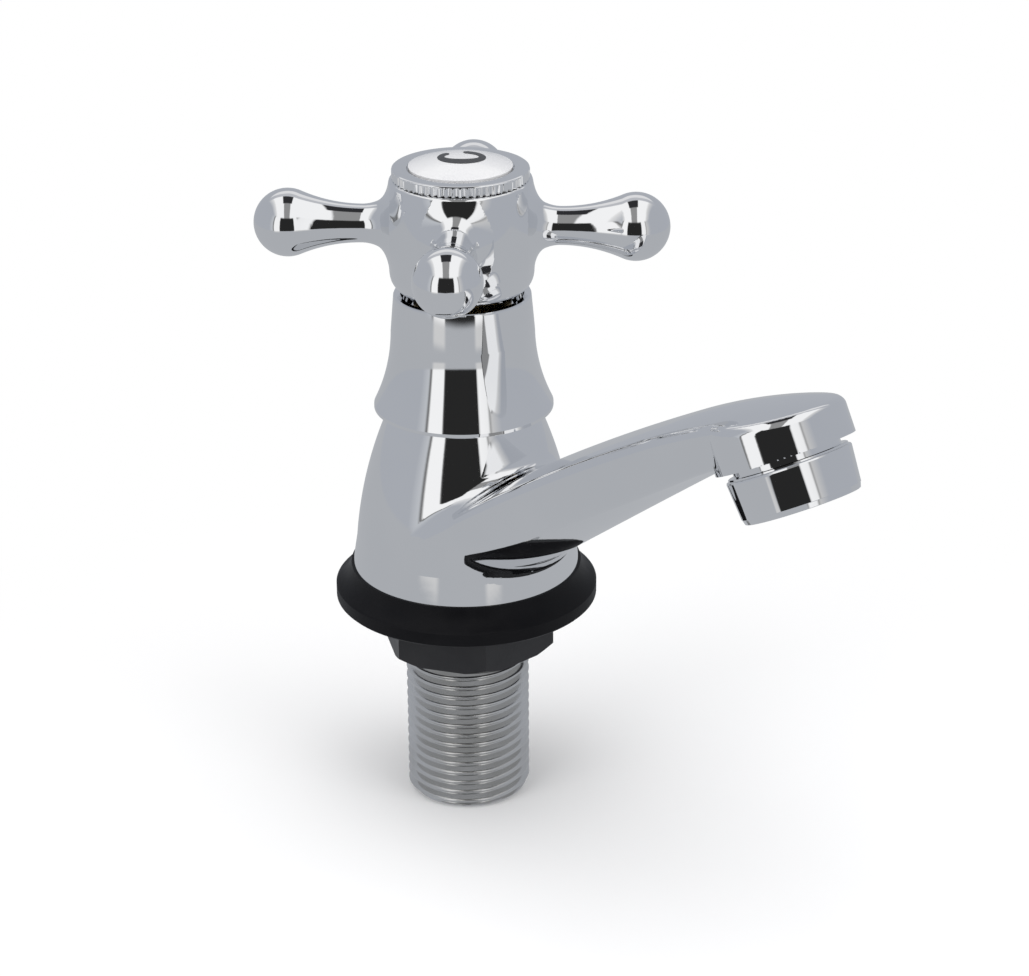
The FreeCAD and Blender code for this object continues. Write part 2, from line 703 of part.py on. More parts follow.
def make_spout():
    """Arm and head under the common top, with the top's edge rounded right round the head."""
    arm, head = spout_blank()
    arm = arm.makeFillet(V["shoulder_round_start"], V["shoulder_round"], shoulder_edges(arm))
    corner = Vector(-CUTTER_BOX / 2, -CUTTER_BOX, lip.value + V["spout_floor"])
    above_foot = Part.makeBox(CUTTER_BOX, CUTTER_BOX, CUTTER_BOX, corner)
    spout = arm.fuse(head).common(top_limit()).common(above_foot).removeSplitter().Solids[0]
    return spout.makeFillet(V["edge_round"], top_edges(spout))


def root_edges(casting):
    """Where the spout's top and sides leave the cone, above the band and below the seam."""
    found = []
    band_top = lip.value + V["band_height"]
    for edge in casting.Edges:
        middle = edge.valueAt((edge.FirstParameter + edge.LastParameter) / 2)
        out = math.hypot(middle.x, middle.y)
        on_cone = V["cone_top_radius"] + EDGE_MARGIN < out < V["band_top_radius"]
        if on_cone and middle.y < SPOUT_SIDE and middle.z > band_top + EDGE_MARGIN:
            found.append(edge)
    return found


def waterways():
    """Every hollow of the casting: inlet, seat, chamber, headwork's hole, passage and outlet."""
    down, out = outlet_directions()
    spigot_top = foot.value + V["tail_spigot_length"]
    hollows = [
        cylinder(V["tail_spigot_radius"] + V["fit_gap"], foot.value - V["overrun"], spigot_top),
        cylinder(V["seat_bore"], foot.value, V["seat_height"] + V["overrun"]),
        cylinder(V["chamber_radius"], chamber_floor.value, thread_bottom.value).cut(
            cylinder(V["seat_lip"], chamber_floor.value, V["seat_height"])),
        cylinder(
            V["headwork_thread_radius"] + V["fit_gap"],
            thread_bottom.value,
            seam.value + V["overrun"],
        ),
    ]
    face_centre = face_line(0, 0)
    hollows.append(Part.makeCylinder(
        V["outlet_thread_radius"],
        V["outlet_thread_depth"] + V["overrun"],
        face_centre + down * V["overrun"],
        down * -1,
    ))
    hollows.append(Part.makeCylinder(
        V["outlet_cavity_radius"], V["outlet_cavity_depth"], face_centre, down * -1))
    hollows.append(Part.makeCylinder(
        V["outlet_pocket_radius"],
        V["outlet_pocket_depth"],
        face_line(V["outlet_pocket_back"], 0),
        down * -1,
    ))
    start = along(V["chamber_radius"] - V["passage_radius"], chamber_floor.value + V["passage_radius"])
    bend_reach = V["passage_bend_reach"]
    bend = along(bend_reach, keel(bend_reach) + V["passage_floor"] + V["passage_radius"])
    end = face_line(V["passage_end_back"], V["passage_end_depth"])
    hollows.append(Part.makeCylinder(
        V["passage_radius"], (bend - start).Length, start, bend - start))
    hollows.append(Part.makeSphere(V["passage_radius"], bend))
    hollows.append(Part.makeCone(
        V["passage_radius"], V["passage_head_radius"], (end - bend).Length, bend, end - bend))
    return hollows


def make_tap_body():
    """One casting: cone, spout and head, rounded where they meet, then bored for the water."""
    piece = doc.addObject("Part::Feature", "tap_body")
    piece.Label = "tap_body"
    shape = cone_solid().fuse(make_spout()).removeSplitter()
    shape = shape.makeFillet(V["root_round"], root_edges(shape))
    for hollow in waterways():
        shape = shape.cut(hollow)
    piece.Shape = shape
    return piece


# ---------------------------------------------------------------- shroud and headwork

def make_shroud():
    """Bell: an undercut skirt, a hollow flare up to the waist, a straight rim, a collar inside."""
    wall = S["shroud_wall"]
    skirt = seam + S["shroud_skirt_rise"]
    waist = seam + S["shroud_waist_rise"]
    collar = seam + S["shroud_collar_rise"]
    collar_bore = S["headwork_neck_radius"] + S["shroud_collar_gap"]
    return turned("bonnet_shroud", [
        (S["cone_top_radius"] - wall, seam),
        (S["cone_top_radius"], seam),
        (S["shroud_skirt_radius"] - S["shroud_skirt_inset"], skirt - S["shroud_skirt_drop"]),
        (S["shroud_skirt_radius"], skirt),
        (-1, S["shroud_flare"]),
        (S["shroud_waist_radius"], waist),
        (S["shroud_rim_radius"], rim - S["shroud_rim_edge"]),
        (S["shroud_rim_radius"] - S["shroud_rim_edge"], rim),
        (S["shroud_rim_radius"] - wall, rim),
        (S["shroud_waist_radius"] - wall, collar + S["shroud_collar_height"]),
        (collar_bore, collar + S["shroud_collar_height"]),
        (collar_bore, collar),
        (S["shroud_waist_radius"] - wall, collar - S["shroud_collar_slope"]),
        (1, S["shroud_flare"] + wall),
        (S["shroud_skirt_radius"] - wall - S["shroud_skirt_hollow"], skirt),
    ])


def make_headwork():
    """Brass valve body: screwed end, shoulder, hexagon, neck; a hexagonal guide up its inside."""
    body = new_body("headwork_body")
    shoulder = seam + S["headwork_seal_thickness"]
    bore = S["spindle_radius"] + S["running_gap"]
    neck = S["headwork_neck_radius"]
    end = thread_bottom + S["headwork_end_gap"]
    groove_half = S["shroud_ring_section"] + S["groove_play"]
    groove_floor = neck + S["shroud_collar_gap"] - (S["shroud_ring_section"] + S["shroud_ring_gap"]) * 2
    outline = add_profile(body, "headwork_section", "XZ_Plane", [
        (bore, end),
        (S["headwork_thread_radius"] - S["turned_edge"], end),
        (S["headwork_thread_radius"], end + S["turned_edge"]),
        (S["headwork_thread_radius"], shoulder),
        (S["headwork_flange_radius"], shoulder),
        (S["headwork_flange_radius"], hex_bottom),
        (neck + S["headwork_neck_step"], hex_bottom),
        (neck + S["headwork_neck_step"], hex_top),
        (neck, hex_top + S["headwork_neck_step"]),
        (neck, collar_middle - groove_half),
        (groove_floor, collar_middle - groove_half),
        (groove_floor, collar_middle + groove_half),
        (neck, collar_middle + groove_half),
        (neck, S["headwork_top"] - S["turned_edge"]),
        (neck - S["turned_edge"], S["headwork_top"]),
        (bore, S["headwork_top"]),
    ])
    revolve(body, outline)
    spanner = hexagon(body, "spanner_hexagon", S["headwork_across_flats"])
    raise_sketch(spanner, hex_bottom)
    pad(body, spanner, S["headwork_hex_height"])
    guide_top = collar_bottom - S["collar_play"]
    chamber = add_profile(body, "collar_chamber_section", "XZ_Plane", [
        (ZERO, guide_top),
        (S["collar_chamber_radius"], guide_top),
        (S["collar_chamber_radius"], S["collar_shoulder"]),
        (ZERO, S["collar_shoulder"]),
    ])
    revolve(body, chamber, kind="Groove")
    guide = hexagon(body, "guide_hexagon", S["guide_across_flats"])
    raise_sketch(guide, thread_bottom)
    pad(body, guide, guide_top - thread_bottom, kind="Pocket")
    return body


def make_headwork_seal():
    return turned("headwork_seal", ring_path(
        S["headwork_thread_radius"] + S["fit_gap"],
        S["headwork_flange_radius"],
        seam,
        seam + S["headwork_seal_thickness"],
    ))


def make_shroud_ring():
    bore = S["headwork_neck_radius"] + S["shroud_collar_gap"]
    middle = bore - S["shroud_ring_section"] - S["shroud_ring_gap"]
    return torus("shroud_o_ring", middle, S["shroud_ring_section"], collar_middle)


# ---------------------------------------------------------------- spindle and valve

def seal_heights():
    """Middles of the spindle's two seals, above the collar's shoulder."""
    first = S["collar_shoulder"] + S["ring_first"]
    return first, first + S["ring_spacing"]


def make_spindle():
    """Turned spindle: threaded stem, collar, sealed shaft with two grooves, clip groove, splined top."""
    half = S["ring_section"] + S["groove_play"]
    clip_top = clip_bottom + S["clip_thickness"] + S["clip_play"]
    shaft = S["spindle_radius"]
    screw_hole = S["screw_radius"] + S["fit_gap"]
    screw_end = S["spindle_top"] - S["screw_depth"] - S["screw_end_gap"]
    body = new_body("spindle")
    path = [
        (ZERO, S["stem_end"]),
        (S["stem_radius"] - S["stem_edge"], S["stem_end"]),
        (S["stem_radius"], S["stem_end"] + S["stem_edge"]),
        (S["stem_radius"], collar_bottom),
        (S["collar_radius"], collar_bottom),
        (S["collar_radius"], collar_top),
        (shaft, collar_top),
    ]
    for middle in seal_heights():
        path += [
            (shaft, middle - half),
            (S["ring_groove_radius"], middle - half),
            (S["ring_groove_radius"], middle + half),
            (shaft, middle + half),
        ]
    path += [
        (shaft, clip_bottom),
        (S["groove_radius"], clip_bottom),
        (S["groove_radius"], clip_top),
        (shaft, clip_top),
        (shaft, S["spline_start"]),
        (S["stem_radius"], S["spline_start"]),
        (S["stem_radius"], S["spindle_top"] - S["stem_edge"]),
        (S["stem_radius"] - S["stem_edge"], S["spindle_top"]),
        (screw_hole, S["spindle_top"]),
        (screw_hole, screw_end),
        (ZERO, screw_end - S["drill_tip"]),
    ]
    revolve(body, add_profile(body, "spindle_section", "XZ_Plane", path))
    return body


def make_spindle_rings():
    """Two seals that share one node, as a pair of separate rings."""
    middle = S["spindle_radius"] + S["running_gap"] - S["ring_section"] - S["ring_wall_gap"]
    rings = [
        torus(f"spindle_ring_{name}", middle, S["ring_section"], height)
        for name, height in zip(("low", "high"), seal_heights())
    ]
    pair = doc.addObject("Part::Compound", "spindle_o_rings")
    pair.Label = "spindle_o_rings"
    pair.Links = rings
    return pair


def make_thrust_washer():
    return turned("thrust_washer", ring_path(
        S["spindle_radius"] + S["fit_gap"],
        S["collar_radius"],
        collar_top,
        S["collar_shoulder"],
    ))


def make_clip():
    """Spring clip with a gap, so that it slips into the spindle's groove from the side."""
    body = new_body("spindle_circlip")
    low = clip_bottom + S["fit_gap"]
    path = ring_path(S["groove_radius"] + S["fit_gap"], S["clip_radius"], low, low + S["clip_thickness"])
    revolve(body, add_profile(body, "clip_section", "XZ_Plane", path))
    mouth = S["clip_mouth"]
    past = S["clip_radius"] + S["overrun"]
    slot = add_profile(body, "clip_mouth", "XY_Plane", [
        (-mouth, ZERO), (mouth, ZERO), (mouth, past), (-mouth, past)])
    raise_sketch(slot, low)
    pad(body, slot, S["clip_thickness"], kind="Pocket")
    return body


def make_carrier():
    """Hexagonal carrier that slides in the headwork's guide, with a threaded hole for the stem."""
    body = new_body("jumper_carrier")
    outline = hexagon(body, "carrier_hexagon", S["guide_across_flats"] - S["guide_gap"] * 2)
    foot_top = washer_top + S["carrier_foot_height"]
    raise_sketch(outline, foot_top)
    pad(body, outline, S["carrier_top"] - foot_top)
    base = add_profile(body, "carrier_foot_section", "XZ_Plane", [
        (ZERO, washer_top),
        (S["carrier_foot_radius"], washer_top),
        (S["carrier_foot_radius"], foot_top),
        (ZERO, foot_top),
    ])
    revolve(body, base)
    stem = S["stem_radius"] + S["running_gap"]
    thread = add_profile(body, "carrier_thread_section", "XZ_Plane", [
        (ZERO, S["carrier_bore_end"]),
        (stem, S["carrier_bore_end"]),
        (stem, S["carrier_top"] + S["overrun"]),
        (ZERO, S["carrier_top"] + S["overrun"]),
    ])
    revolve(body, thread, kind="Groove")
    hole = S["washer_screw_radius"] + S["fit_gap"]
    hole_end = S["seat_height"] + S["washer_screw_length"] + S["screw_end_gap"]
    screwed = add_profile(body, "carrier_screw_section", "XZ_Plane", [
        (ZERO, washer_top - S["overrun"]),
        (hole, washer_top - S["overrun"]),
        (hole, hole_end),
        (ZERO, hole_end),
    ])
    revolve(body, screwed, kind="Groove")
    return body


def make_valve_washer():
    return turned("valve_washer", ring_path(
        S["washer_screw_radius"] + S["fit_gap"],
        S["valve_washer_radius"],
        S["seat_height"],
        washer_top,
    ))


def make_washer_screw():
    """Screw up through the rubber, its head in the seat's hole."""
    head = S["seat_height"] - S["washer_screw_head_height"]
    return turned("washer_screw", [
        (ZERO, head),
        (S["washer_screw_head"] - S["washer_screw_edge"], head),
        (S["washer_screw_head"], head + S["washer_screw_edge"]),
        (S["washer_screw_head"], S["seat_height"]),
        (S["washer_screw_radius"], S["seat_height"]),
        (S["washer_screw_radius"], S["seat_height"] + S["washer_screw_length"]),
        (ZERO, S["seat_height"] + S["washer_screw_length"]),
    ])


# ---------------------------------------------------------------- handle

def make_handle():
    """Hub with four arms in one casting, hollow below, stepped above for screw and index ring."""
    body = new_body("handle")
    recess = S["ring_spigot_radius"] + S["fit_gap"]
    bush = S["bush_radius"] + S["fit_gap"]
    shank = S["screw_radius"] + S["screw_hole_gap"]
    hub = add_profile(body, "hub_section", "XZ_Plane", [
        (S["hub_hollow_radius"], S["hub_bottom"]),
        (S["hub_neck_radius"], S["hub_bottom"]),
        (S["hub_low_radius"] - S["hub_bend_inset"], S["hub_bottom"] + S["hub_bend_rise"]),
        (S["hub_low_radius"], S["hub_bottom"] + S["hub_low_rise"]),
        (1, S["hub_swell"]),
        (S["hub_high_radius"], S["hub_top"] - S["hub_edge"]),
        (S["hub_high_radius"] - S["hub_edge"], S["hub_top"]),
        (recess, S["hub_top"]),
        (recess, web_top),
        (shank, web_top),
        (shank, bush_top),
        (bush, bush_top),
        (bush, S["hub_bottom"] + S["hub_hollow_depth"]),
        (S["hub_hollow_radius"], S["hub_bottom"] + S["hub_hollow_depth"]),
    ])
    revolve(body, hub)
    reach = S["bulb_reach"] - S["neck_reach"]
    spread = S["bulb_radius"] - S["neck_radius"]
    waist = (reach * reach + S["neck_radius"] * S["neck_radius"]
             - S["bulb_radius"] * S["bulb_radius"]) / (spread * 2)
    share = S["bulb_radius"] / (S["bulb_radius"] + waist)
    join_x = S["bulb_reach"] - reach * share
    join_y = (waist + S["neck_radius"]) * share
    eighth = S["bulb_radius"] / math.sqrt(2)
    flare = S["flare_radius"]
    flare_run = S["neck_reach"] - S["flare_start"]
    flare_top = S["neck_radius"] + flare - (flare * flare - flare_run * flare_run).root()
    arm = add_profile(body, "arm_section", "XZ_Plane", [
        (S["arm_start"], ZERO),
        (S["arm_start"], flare_top),
        (S["flare_start"], flare_top),
        (1, flare),
        (S["neck_reach"], S["neck_radius"]),
        (1, waist),
        (join_x, join_y),
        (-1, S["bulb_radius"]),
        (S["bulb_reach"] + eighth, eighth),
        (-1, S["bulb_radius"]),
        (S["bulb_reach"] + S["bulb_radius"], ZERO),
    ])
    arm.AttachmentOffset = FreeCAD.Placement(Vector(0, V["arm_height"], 0), FreeCAD.Rotation())
    arm.setExpression("AttachmentOffset.Base.y", S["arm_height"].text)
    first = revolve(body, arm, axis="H_Axis")
    arms = body.newObject("PartDesign::PolarPattern", "arms")
    arms.Originals = [first]
    arms.Axis = (plane_of(body, "Z_Axis"), [""])
    arms.Angle = 360
    arms.Occurrences = 4
    body.Tip = arms
    body.Placement = FreeCAD.Placement(Vector(), FreeCAD.Rotation(Vector(0, 0, 1), V["handle_turned"]))
    body.setExpression("Placement.Rotation.Angle", S["handle_turned"].text)
    return body


def make_bush():
    return turned("handle_bush", ring_path(
        S["stem_radius"] + S["fit_gap"], S["bush_radius"], bush_bottom, bush_top))


def make_handle_screw():
    """Socket screw down through the hub's web into the spindle."""
    body = new_body("handle_screw")
    head_top = web_top + S["screw_head_height"]
    path = [
        (ZERO, S["spindle_top"] - S["screw_depth"]),
        (S["screw_radius"], S["spindle_top"] - S["screw_depth"]),
        (S["screw_radius"], web_top),
        (S["screw_head_radius"], web_top),
        (S["screw_head_radius"], head_top - S["turned_edge"]),
        (S["screw_head_radius"] - S["turned_edge"], head_top),
        (ZERO, head_top),
    ]
    revolve(body, add_profile(body, "handle_screw_section", "XZ_Plane", path))
    socket = hexagon(body, "screw_socket", S["screw_socket"])
    raise_sketch(socket, head_top - S["screw_socket_depth"])
    pad(body, socket, S["screw_socket_depth"], kind="Pocket")
    return body


def make_index_ring():
    low = S["hub_top"] + S["ring_gap"]
    top = low + S["ring_height"]
    seat = top - S["disc_seat_depth"]
    return turned("index_ring", [
        (S["ring_bore"], low - S["ring_spigot_depth"]),
        (S["ring_spigot_radius"], low - S["ring_spigot_depth"]),
        (S["ring_spigot_radius"], low),
        (S["ring_radius"], low),
        (S["ring_radius"], top - S["ring_edge_drop"]),
        (S["ring_radius"] - S["ring_edge"], top),
        (S["disc_radius"] + S["disc_gap"], top),
        (S["disc_radius"] + S["disc_gap"], seat),
        (S["ring_bore"], seat),
    ])


def make_index_disc():
    """Domed disc that lies in the ring's recess."""
    seat = S["hub_top"] + S["ring_gap"] + S["ring_height"] - S["disc_seat_depth"]
    edge = seat + S["disc_seat_depth"] + S["disc_rim_rise"]
    apex = edge + S["disc_dome"]
    dome = (S["disc_radius"] * S["disc_radius"] + S["disc_dome"] * S["disc_dome"]) / (S["disc_dome"] * 2)
    return turned("index_disc", [
        (ZERO, seat),
        (S["disc_radius"], seat),
        (S["disc_radius"], edge),
        (1, dome),
        (ZERO, apex),
    ])


# ---------------------------------------------------------------- aerator, drawn about the outlet's axis

def at_outlet(piece):
    """Places a piece whose own +Z runs up into the spout's head, with its origin on the head's face."""
    piece.Placement = FreeCAD.Placement(
        along(V["reach"], V["outlet_height"]),
        FreeCAD.Rotation(Vector(-1, 0, 0), V["outlet_tilt"]),
    )
    piece.setExpression("Placement.Base.y", (-S["reach"]).text)
    piece.setExpression("Placement.Base.z", S["outlet_height"].text)
    piece.setExpression("Placement.Rotation.Angle", S["outlet_tilt"].text)
    return piece


def outlet_turned(label, path):
    return at_outlet(turned(label, path))


washer_low = S["outlet_thread_depth"] - S["aerator_washer_thickness"]
insert_low = -S["aerator_drop"] + S["insert_end"]
lip_top = -S["aerator_drop"] + S["aerator_lip_height"]


def make_aerator_housing():
    """Ring with a screwed neck; a lip at its end carries the screen."""
    thread = S["outlet_thread_radius"] - S["fit_gap"]
    bore = S["insert_radius"] + S["fit_gap"]
    end = -S["aerator_drop"]
    neck = -S["aerator_neck"]
    return outlet_turned("aerator_housing", [
        (bore, washer_low),
        (bore, lip_top),
        (bore - S["aerator_lip"], lip_top),
        (bore - S["aerator_lip"], end),
        (S["aerator_end_radius"] - S["aerator_edge"], end),
        (S["aerator_end_radius"], end + S["aerator_edge"]),
        (S["aerator_top_radius"], neck - S["aerator_top_edge"]),
        (S["aerator_top_radius"] - S["aerator_top_edge"], neck),
        (thread, neck),
        (thread, washer_low - S["aerator_thread_edge"]),
        (thread - S["aerator_thread_edge"], washer_low),
    ])


def make_aerator_washer():
    return outlet_turned("aerator_washer", ring_path(
        S["outlet_cavity_radius"],
        S["outlet_thread_radius"] - S["fit_gap"],
        washer_low,
        S["outlet_thread_depth"],
    ))


def make_aerator_insert():
    """Plastic cartridge: a cup whose floor is pierced by a ring of holes, over a hollow."""
    body = new_body("aerator_insert")
    floor = washer_low - S["insert_floor"]
    section = add_profile(body, "insert_section", "XZ_Plane", [
        (ZERO, floor),
        (S["insert_radius"] - S["insert_wall"], floor),
        (S["insert_radius"] - S["insert_wall"], insert_low),
        (S["insert_radius"], insert_low),
        (S["insert_radius"], washer_low),
        (ZERO, washer_low),
    ])
    revolve(body, section)
    pierce(
        body, "insert_hole", S["insert_hole_ring"], S["insert_hole"], floor, S["insert_floor"], INSERT_HOLES)
    return at_outlet(body)


def make_aerator_screen():
    """Flat grid at the outlet: a disc pierced by two rings of holes."""
    body = new_body("aerator_screen")
    low = lip_top + S["fit_gap"]
    thickness = S["screen_thickness"]
    hole = S["screen_hole"]
    section = add_profile(body, "screen_section", "XZ_Plane", [
        (ZERO, low),
        (S["insert_radius"], low),
        (S["insert_radius"], low + thickness),
        (ZERO, low + thickness),
    ])
    revolve(body, section)
    pierce(body, "screen_outer", S["screen_outer_ring"], hole, low, thickness, SCREEN_OUTER_HOLES)
    pierce(body, "screen_inner", S["screen_inner_ring"], hole, low, thickness, SCREEN_INNER_HOLES)
    return at_outlet(body)


def pierce(body, name, ring, hole, low, depth, count):
    """A ring of square holes through the body, from low upward."""
    square = add_profile(body, name, "XY_Plane", [
        (ring - hole, -hole), (ring + hole, -hole), (ring + hole, hole), (ring - hole, hole)])
    raise_sketch(square, low)
    first = pad(body, square, depth, kind="Pocket")
    pattern = body.newObject("PartDesign::PolarPattern", f"{name}_ring")
    pattern.Originals = [first]
    pattern.Axis = (plane_of(body, "Z_Axis"), [""])
    pattern.Angle = 360
    pattern.Occurrences = count
    body.Tip = pattern


# ---------------------------------------------------------------- assembly

PIECES = [
    make_tail(),
    make_tail_seal(),
    make_base_washer(),
    make_backnut(),
    make_tap_body(),
    make_shroud(),
    make_headwork(),
    make_headwork_seal(),
    make_shroud_ring(),
    make_spindle(),
    make_spindle_rings(),
    make_thrust_washer(),
    make_clip(),
    make_carrier(),
    make_valve_washer(),
    make_washer_screw(),
    make_handle(),
    make_bush(),
    make_handle_screw(),
    make_index_ring(),
    make_index_disc(),
    make_aerator_housing(),
    make_aerator_washer(),
    make_aerator_insert(),
    make_aerator_screen(),
]
doc.recompute()

for item in doc.Objects:
    if "Invalid" in item.State or "Error" in item.State:
        raise RuntimeError(f"{item.Name} failed: {item.State}")
os.makedirs("parts", exist_ok=True)
for piece in PIECES:
    shape = piece.Shape
    if shape.isNull() or not shape.isValid():
        raise RuntimeError(f"{piece.Label} has no valid shape")
    shape.exportStep(os.path.join("parts", f"{piece.Label}.step"))
    box = shape.BoundBox
    print(f"{piece.Label:18s} solids {len(shape.Solids)} volume {shape.Volume:9.1f} mm3"
          f"  z {box.ZMin:7.2f} to {box.ZMax:6.2f}")
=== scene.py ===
# %% [markdown]
# # A basin tap with a cross handle
# The imported model already holds every piece of the tap at its real size. This lesson gives it the
# look of the real thing: chrome, rubber, plastic and enamel, soft joins between the cast shapes,
# the turns of the inlet thread, the knurl under the index disc, and the mark on the disc. First
# the frame is loaded, and the box of the plain model is kept, which sets the height of the floor.

# %% Load the frame
import math

import bmesh
import bpy
import numpy as np
from mathutils import Euler, Matrix, Vector


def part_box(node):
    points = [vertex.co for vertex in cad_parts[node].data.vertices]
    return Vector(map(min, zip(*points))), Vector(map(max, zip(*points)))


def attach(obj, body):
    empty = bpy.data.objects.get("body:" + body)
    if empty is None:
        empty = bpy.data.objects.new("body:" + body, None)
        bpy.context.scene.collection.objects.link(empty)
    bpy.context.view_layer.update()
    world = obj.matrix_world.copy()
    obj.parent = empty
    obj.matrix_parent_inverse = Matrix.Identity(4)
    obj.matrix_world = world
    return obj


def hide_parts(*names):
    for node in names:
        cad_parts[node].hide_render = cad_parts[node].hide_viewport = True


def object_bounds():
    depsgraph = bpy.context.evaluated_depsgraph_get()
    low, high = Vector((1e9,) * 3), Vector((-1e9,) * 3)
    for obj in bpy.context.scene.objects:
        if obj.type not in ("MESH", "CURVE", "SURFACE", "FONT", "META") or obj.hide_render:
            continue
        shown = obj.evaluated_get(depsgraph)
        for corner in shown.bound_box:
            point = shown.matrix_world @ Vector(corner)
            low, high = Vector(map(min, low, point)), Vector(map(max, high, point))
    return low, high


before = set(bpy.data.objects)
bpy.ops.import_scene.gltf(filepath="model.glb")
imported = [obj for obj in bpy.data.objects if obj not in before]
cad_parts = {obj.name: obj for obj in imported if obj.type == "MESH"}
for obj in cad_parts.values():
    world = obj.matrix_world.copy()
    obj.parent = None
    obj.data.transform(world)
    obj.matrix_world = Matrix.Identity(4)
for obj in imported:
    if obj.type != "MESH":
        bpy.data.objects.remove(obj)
cad_low, cad_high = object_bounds()
MM = 0.001
print("nodes", len(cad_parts), "box in mm", [round(v / MM, 1) for v in cad_high - cad_low])

# %% [markdown]
# ## The camera
# The photograph was taken from above and to the left of the spout with a long lens. The place
# and the lens come from fitting the tap's own circles: the rims of the cone, shroud and handle
# show as ellipses, and how flat they are gives the height of the lens.

# %% Camera
PHOTO_WIDTH = 1029
FOCAL_PIXELS = 2818
SENSOR = 36.0
CAMERA_PLACE = Vector((-284.63, -322.79, 207.55)) * MM
CAMERA_TILT = math.radians(90 - 23.694)
CAMERA_TURN = math.radians(-42.5)
CAMERA_ROLL = math.radians(-0.4)

lens = bpy.data.cameras.new("photo_camera")
lens.sensor_width = SENSOR
lens.lens = FOCAL_PIXELS * SENSOR / PHOTO_WIDTH
lens.clip_start = 0.01
camera = bpy.data.objects.new("photo_camera", lens)
camera.location = CAMERA_PLACE
aim = Euler((CAMERA_TILT, 0, CAMERA_TURN)).to_matrix() @ Matrix.Rotation(CAMERA_ROLL, 3, "Z")
camera.rotation_euler = aim.to_euler()
bpy.context.scene.collection.objects.link(camera)
bpy.context.scene.camera = camera
print("lens", round(lens.lens, 1), "mm")

# %% [markdown]
# ## Small helpers for node trees
# Materials, the world and the geometry trees are all made of nodes. A few short helpers keep the
# cells below readable: one adds a node and fills its sockets, one does a step of arithmetic, one
# lays out a ramp, and one starts a material with its main shader.

# %% Node helpers
def add_node(tree, kind, settings=None, **inputs):
    node = tree.nodes.new(kind)
    for name, value in (settings or {}).items():
        setattr(node, name, value)
    for name, value in inputs.items():
        socket = node.inputs[int(name[1:]) if name[0] == "_" else name.replace("_", " ")]
        if isinstance(value, bpy.types.NodeSocket):
            tree.links.new(value, socket)
        else:
            socket.default_value = value
    return node


def sum_of(tree, operation, first, second=0.0):
    return add_node(tree, "ShaderNodeMath", {"operation": operation},
                    _0=first, _1=second).outputs[0]


def ease(tree, value, start, end, low=0.0, high=1.0):
    return add_node(tree, "ShaderNodeMapRange", {"interpolation_type": "SMOOTHSTEP"},
                    Value=value, From_Min=start, From_Max=end, To_Min=low, To_Max=high).outputs[0]


def blend(tree, share, first, second):
    """The first colour where share is 0, the second where it is 1."""
    return add_node(tree, "ShaderNodeMix", {"data_type": "RGBA"},
                    _0=share, _6=first, _7=second).outputs[2]


def ramp_of(tree, value, stops):
    ramp = add_node(tree, "ShaderNodeValToRGB", Fac=value)
    elements = ramp.color_ramp.elements
    while len(elements) < len(stops):
        elements.new(1.0)
    for element, (place, colour) in zip(elements, stops):
        element.position = place
        element.color = (*colour, 1.0) if isinstance(colour, tuple) else (colour,) * 3 + (1.0,)
    return ramp.outputs["Color"]


def start_material(name, **sockets):
    material = bpy.data.materials.new(name)
    material.use_nodes = True
    tree = material.node_tree
    shader = tree.nodes["Principled BSDF"]
    for socket, value in sockets.items():
        shader.inputs[socket.replace("_", " ")].default_value = value
    return material, tree, shader


# %% [markdown]
# ## The backdrop
# The photograph's tap stands in front of plain white. The camera, mirrors and clear things see
# the world as white; everything matt gets an even, soft sky. The floor is white too. Near the
# tap it is a matt sheet that keeps the soft shadow, and farther out it fades into the white of
# the backdrop, so that no horizon shows.

# %% World and floor
world = bpy.data.worlds.new("white_backdrop")
bpy.context.scene.world = world
world.use_nodes = True
sky = world.node_tree
sky.nodes.clear()


def seen_directly(tree):
    """1 for the camera, mirrors and clear things, 0 for matt surfaces."""
    rays = add_node(tree, "ShaderNodeLightPath").outputs
    mirrors = sum_of(tree, "MAXIMUM", rays["Is Glossy Ray"], rays["Is Transmission Ray"])
    return sum_of(tree, "MAXIMUM", rays["Is Camera Ray"], mirrors)


sky_colour = blend(sky, seen_directly(sky), (0.55, 0.55, 0.56, 1), (1, 1, 1, 1))
background = add_node(sky, "ShaderNodeBackground", Color=sky_colour)
add_node(sky, "ShaderNodeOutputWorld", Surface=background.outputs[0])

FLOOR_SIZE = 3.0
FLOOR_GAP = 0.2
FADE_START, FADE_END = 0.045, 0.15
SHADOW_MIDDLE = (0.01, -0.02)
floor_height = cad_low.z - FLOOR_GAP * MM
floor_mesh = bpy.data.meshes.new("floor")
half = FLOOR_SIZE / 2
floor_mesh.from_pydata(
    [(-half, -half, floor_height), (half, -half, floor_height),
     (half, half, floor_height), (-half, half, floor_height)], [], [(0, 1, 2, 3)])
floor = bpy.data.objects.new("floor", floor_mesh)
bpy.context.scene.collection.objects.link(floor)
floor_white, floor_tree, sheet = start_material("floor_white", Roughness=0.9)
sheet.inputs["Base Color"].default_value = (0.95, 0.95, 0.95, 1)
sheet.inputs["Specular IOR Level"].default_value = 0.0
from_tap = add_node(floor_tree, "ShaderNodeVectorMath", {"operation": "DISTANCE"},
                    _0=add_node(floor_tree, "ShaderNodeTexCoord").outputs["Object"],
                    _1=(*SHADOW_MIDDLE, floor_height)).outputs["Value"]
fade = sum_of(floor_tree, "MULTIPLY", ease(floor_tree, from_tap, FADE_START, FADE_END),
              seen_directly(floor_tree))
glow = add_node(floor_tree, "ShaderNodeEmission", Color=(1, 1, 1, 1), Strength=1.0)
mixed = add_node(floor_tree, "ShaderNodeMixShader",
                 _0=fade, _1=sheet.outputs[0], _2=glow.outputs[0])
floor_tree.links.new(mixed.outputs[0], floor_tree.nodes["Material Output"].inputs["Surface"])
floor.data.materials.append(floor_white)
floor.visible_glossy = False
print("floor at", round(floor_height / MM, 2), "mm")
